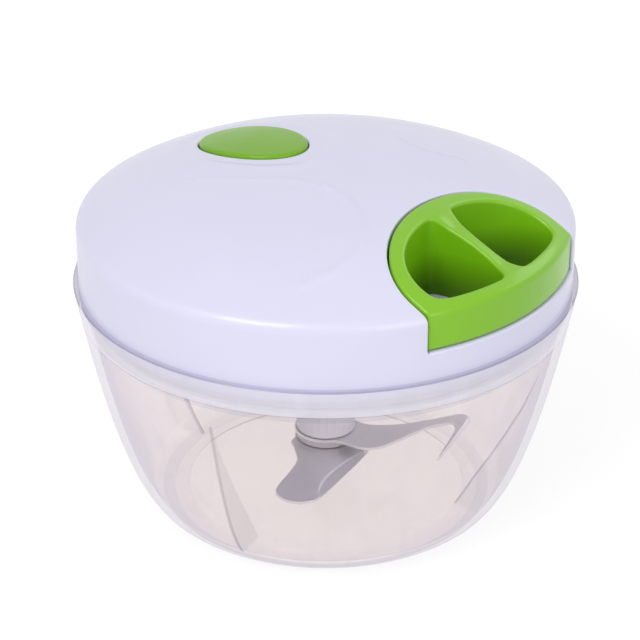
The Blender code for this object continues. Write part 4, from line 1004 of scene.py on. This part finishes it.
def make_blade(node, number, hooked, line_width):
    """A flat blade whose grind starts at a thin line of painted highlight and runs out at both its ends."""
    low, high = (corner[2] for corner in box_mm(node))
    ground, hollow = blade_line(hooked)
    grind = HOOK_GRIND_WIDTH if hooked else GRIND_WIDTH
    eye_start = math.degrees(math.atan2(hollow[-1][1], hollow[-1][0])) - EYE_OVERLAP
    eye_end = math.degrees(math.atan2(ground[0][1], ground[0][0])) + EYE_OVERLAP - 360
    turns = np.linspace(eye_start, eye_end, EYE_STEPS)
    back = hollow[1:] + [np.array(polar(BLADE_EYE_RADIUS, turn)) for turn in turns]
    hole = [np.array(polar(CORE_HOLE, 7.5 * i)) for i in range(48)]
    verts = []

    def row(points, height):
        verts.extend((x, y, height) for x, y in points)
        return list(range(len(verts) - len(points), len(verts)))

    last = len(ground) - 1
    ahead = [ground[min(i + 1, last)] - ground[max(i - 1, 0)] for i in range(last + 1)]
    into = [np.array([way[1], -way[0]]) / np.hypot(*way) for way in ahead]
    taper = [math.sin(math.pi * i / last) ** GRIND_FULLNESS for i in range(last + 1)]
    taper[-1] = 0.0
    bottom = row(ground, low)
    edge = row(ground, low + GRIND_EDGE)
    spots = list(zip(ground, into, taper))
    start = row([p + n * grind * t for p, n, t in spots], high)
    line = row([p + n * (grind + line_width) * t for p, n, t in spots[1:-1]], high)
    line = [start[0]] + line + [start[-1]]
    back_low, back_high = row(back, low), row(back, high)
    hole_low, hole_high = row(hole, low), row(hole, high)
    plain_steel, painted_highlight = range(2)
    faces = []
    zones = []
    for lower, upper, zone in ((bottom, edge, plain_steel), (edge, start, plain_steel),
                               (start, line, painted_highlight), (back_low, back_high, plain_steel)):
        for i in range(len(lower) - 1):
            faces.append(tuple(dict.fromkeys((lower[i], lower[i + 1], upper[i + 1], upper[i]))))
            zones.append(zone)
    faces.append((bottom[-1], back_low[0], back_high[0], start[-1], edge[-1]))
    faces.append((back_low[-1], bottom[0], edge[0], start[0], back_high[-1]))
    for i in range(len(hole)):
        after = (i + 1) % len(hole)
        faces.append((hole_low[i], hole_low[after], hole_high[after], hole_high[i]))
    for outer, inner in ((bottom + back_low, hole_low), (line + back_high, hole_high)):
        names = outer + inner
        filled = tessellate_polygon([[Vector(verts[n]) for n in group] for group in (outer, inner)])
        faces += [tuple(names[i] for i in face) for face in filled]
    zones += [plain_steel] * (len(faces) - len(zones))
    verts = about_axis(verts, BLADE_TURN - BLADE_STEP_TURN * number)
    blade = make_object(f"{node}_ground", verts, faces, [STEEL, BEVEL_HIGHLIGHT], "blade_body", [node],
                        sharp=10.0, zones=zones)
    turn_faces_out(blade)


# Cord and button spring
CORD_RADIUS = 0.9
WIND_RADIUS = 13.2
CORD_BEND = 25.7
CORD_HEIGHT = HANDLE_BOTTOM + 3.1
KNOT_PLACE = 34.6
KNOT_RADIUS = 2.0
CORD_SIDES = 16
BRAID_PITCH = 2.6
BRAID_DEPTH = 0.06
SPRING_WIRE = 0.4
SPRING_TURNS = 4
SPRING_SIDES = 8


def tube_faces(rings, sides):
    """Faces of a tube through rings of vertices, closed at both ends."""
    faces = []
    for i in range(rings - 1):
        for k in range(sides):
            after = (k + 1) % sides
            faces.append((i * sides + k, i * sides + after, (i + 1) * sides + after, (i + 1) * sides + k))
    return faces + [tuple(range(sides - 1, -1, -1)), tuple(range((rings - 1) * sides, rings * sides))]


def cord_route():
    """The cord's middle line from the winding round the bend to the knot, as close-set points."""
    leaving = -math.degrees(math.acos(WIND_RADIUS / CORD_BEND))
    start = Vector((*polar(WIND_RADIUS, leaving), CORD_HEIGHT))
    bend = Vector((CORD_BEND, 0.0, CORD_HEIGHT))
    away = (bend - start).normalized()
    start = start + away * 0.3
    before = bend - away * 2.0
    after = Vector((CORD_BEND + 2.0, 0.0, CORD_HEIGHT))
    end = Vector((KNOT_PLACE - KNOT_RADIUS - 0.3, 0.0, CORD_HEIGHT))
    straight = [start.lerp(before, i / 40) for i in range(40)]
    curve = [before * (1 - t) ** 2 + bend * 2 * t * (1 - t) + after * t ** 2 for t in np.arange(12) / 12]
    last = [after.lerp(end, i / 40) for i in range(41)]
    return straight + curve + last


def make_cord():
    """A braided cord: eight strands cross over and under, seen as bumps along its skin."""
    route = cord_route()
    verts = []
    way = 0.0
    for i, here in enumerate(route):
        along = (route[min(i + 1, len(route) - 1)] - route[max(i - 1, 0)]).normalized()
        across = Vector((-along.y, along.x, 0.0)).normalized()
        up = along.cross(across)
        if i:
            way += (here - route[i - 1]).length
        pitch = way * BRAID_PITCH
        for k in range(CORD_SIDES):
            turn = math.tau * k / CORD_SIDES
            braid = math.cos(4 * turn + pitch) * math.cos(4 * turn - pitch)
            reach = CORD_RADIUS - BRAID_DEPTH + BRAID_DEPTH * braid
            verts.append(here + (across * math.cos(turn) + up * math.sin(turn)) * reach)
    faces = tube_faces(len(route), CORD_SIDES)
    cord = make_object("cord_run", verts, faces, CORD, None, ["pull_cord"])
    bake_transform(cord)
    turn_faces_out(cord)


def make_button_spring():
    """A coil whose lower end stands in the lid; it rides with the lid."""
    low, high = box_mm("button_spring")
    x, y = (low + high)[:2] / 2
    radius = (high[0] - low[0]) / 2 - SPRING_WIRE
    steps = 24 * SPRING_TURNS
    verts = []
    for i in range(steps + 1):
        turn = math.tau * SPRING_TURNS * i / steps
        z = low[2] + SPRING_WIRE + (high[2] - low[2] - 2 * SPRING_WIRE) * i / steps
        for k in range(SPRING_SIDES):
            lean = math.tau * k / SPRING_SIDES
            out = radius + SPRING_WIRE * math.cos(lean)
            up = z + SPRING_WIRE * math.sin(lean)
            verts.append((x + out * math.cos(turn), y + out * math.sin(turn), up))
    coil = make_object("button_coil", verts, tube_faces(steps + 1, SPRING_SIDES), FASTENER, "lid_body",
                       ["button_spring"])
    turn_faces_out(coil)
    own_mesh(coil)


# Stage, in metres
FLOOR_HALF = 3.0
FLOOR_DROP = 0.00005
LAMP_TARGET = (0.0, 0.0, 0.06)


def make_camera():
    """The camera of the photograph, shifted so that the rim's middle falls on its pixel."""
    lens = bpy.data.cameras.new("camera")
    lens.sensor_width = SENSOR_WIDTH
    lens.lens = FOCAL_PIXELS * lens.sensor_width / FRAME_PIXELS
    lens.shift_x = (FRAME_PIXELS / 2 - RIM_PIXEL[0]) / FRAME_PIXELS
    lens.shift_y = (RIM_PIXEL[1] - FRAME_PIXELS / 2) / FRAME_PIXELS
    lens.clip_end = 10.0
    camera = bpy.data.objects.new("camera", lens)
    bpy.context.scene.collection.objects.link(camera)
    lean = math.radians(CAMERA_ELEVATION)
    turn = math.radians(CAMERA_AZIMUTH)
    away = Vector((math.sin(turn) * math.cos(lean), -math.cos(turn) * math.cos(lean), math.sin(lean)))
    camera.location = Vector((0, 0, BOWL_HEIGHT * MM)) + away * CAMERA_DISTANCE * MM
    camera.rotation_euler = (math.pi / 2 - lean, 0.0, turn)
    bpy.context.scene.camera = camera


def seen_directly(tree):
    """One for camera, mirror and see-through rays, nought for the light that falls on things."""
    path = tree.nodes.new("ShaderNodeLightPath")
    total = path.outputs["Is Camera Ray"]
    for name in ("Is Glossy Ray", "Is Transmission Ray"):
        add = tree.nodes.new("ShaderNodeMath")
        add.operation = "MAXIMUM"
        tree.links.new(total, add.inputs[0])
        tree.links.new(path.outputs[name], add.inputs[1])
        total = add.outputs["Value"]
    return total


def make_world():
    """A white surround that lights the part less brightly than it is seen."""
    world = bpy.data.worlds.new("studio")
    bpy.context.scene.world = world
    world.use_nodes = True
    tree = world.node_tree
    light = tree.nodes["Background"]
    light.inputs["Color"].default_value = (1.0, 1.0, 1.0, 1.0)
    light.inputs["Strength"].default_value = 0.62
    seen = tree.nodes.new("ShaderNodeBackground")
    seen.inputs["Color"].default_value = (1.0, 1.0, 1.0, 1.0)
    seen.inputs["Strength"].default_value = 1.0
    sky = mixed(tree, seen_directly(tree), light.outputs["Background"], seen.outputs["Background"])
    tree.links.new(sky, tree.nodes["World Output"].inputs["Surface"])


def make_floor():
    """A white table that keeps a faint shadow, a hair below the part so that the two faces don't meet."""
    mesh = bpy.data.meshes.new("floor")
    corners = [(x * FLOOR_HALF, y * FLOOR_HALF, -FLOOR_DROP) for x, y in ((-1, -1), (1, -1), (1, 1), (-1, 1))]
    mesh.from_pydata(corners, [], [(0, 1, 2, 3)])
    made, tree, shader, output = new_material("floor white")
    tree.nodes.remove(shader)
    diffuse = tree.nodes.new("ShaderNodeBsdfDiffuse")
    diffuse.inputs["Color"].default_value = (0.25, 0.25, 0.25, 1.0)
    plain = tree.nodes.new("ShaderNodeBsdfDiffuse")
    plain.inputs["Color"].default_value = (0.85, 0.85, 0.85, 1.0)
    glow = tree.nodes.new("ShaderNodeEmission")
    glow.inputs["Strength"].default_value = 0.80
    add = tree.nodes.new("ShaderNodeAddShader")
    tree.links.new(diffuse.outputs["BSDF"], add.inputs[0])
    tree.links.new(glow.outputs["Emission"], add.inputs[1])
    table = mixed(tree, seen_directly(tree), plain.outputs["BSDF"], add.outputs["Shader"])
    tree.links.new(table, output.inputs["Surface"])
    mesh.materials.append(made)
    floor = bpy.data.objects.new("floor", mesh)
    bpy.context.scene.collection.objects.link(floor)


def make_lamp(name, place, size, power):
    """A rectangular lamp turned to the middle of the part. Metres and watts."""
    data = bpy.data.lights.new(name, "AREA")
    data.shape = "RECTANGLE"
    data.size = size[0]
    data.size_y = size[1]
    data.energy = power
    lamp = bpy.data.objects.new(name, data)
    bpy.context.scene.collection.objects.link(lamp)
    lamp.location = place
    lamp.rotation_euler = (Vector(LAMP_TARGET) - Vector(place)).to_track_quat("-Z", "Y").to_euler()


make_camera()
make_world()
make_floor()
make_lamp("key", (0.1, -1.05, 1.05), (0.7, 0.7), 9.3)
make_lamp("back", (0.3, 1.1, 0.9), (0.9, 0.4), 2.0)
make_lamp("side", (1.2, -0.3, 0.45), (0.7, 0.7), 3.2)
paint_nodes()
make_bowl()
make_lid_cover()
make_handle()
make_button()
make_blade("blade_upper", 0, False, 0.6)
make_blade("blade_middle", 1, True, 0.2)
make_blade("blade_lower", 2, False, 0.9)
make_cord()
make_button_spring()
bpy.context.scene.view_settings.view_transform = "Standard"


def plain(bounds):
    """Corners as lists of plain numbers."""
    return [[float(c) for c in corner] for corner in bounds]
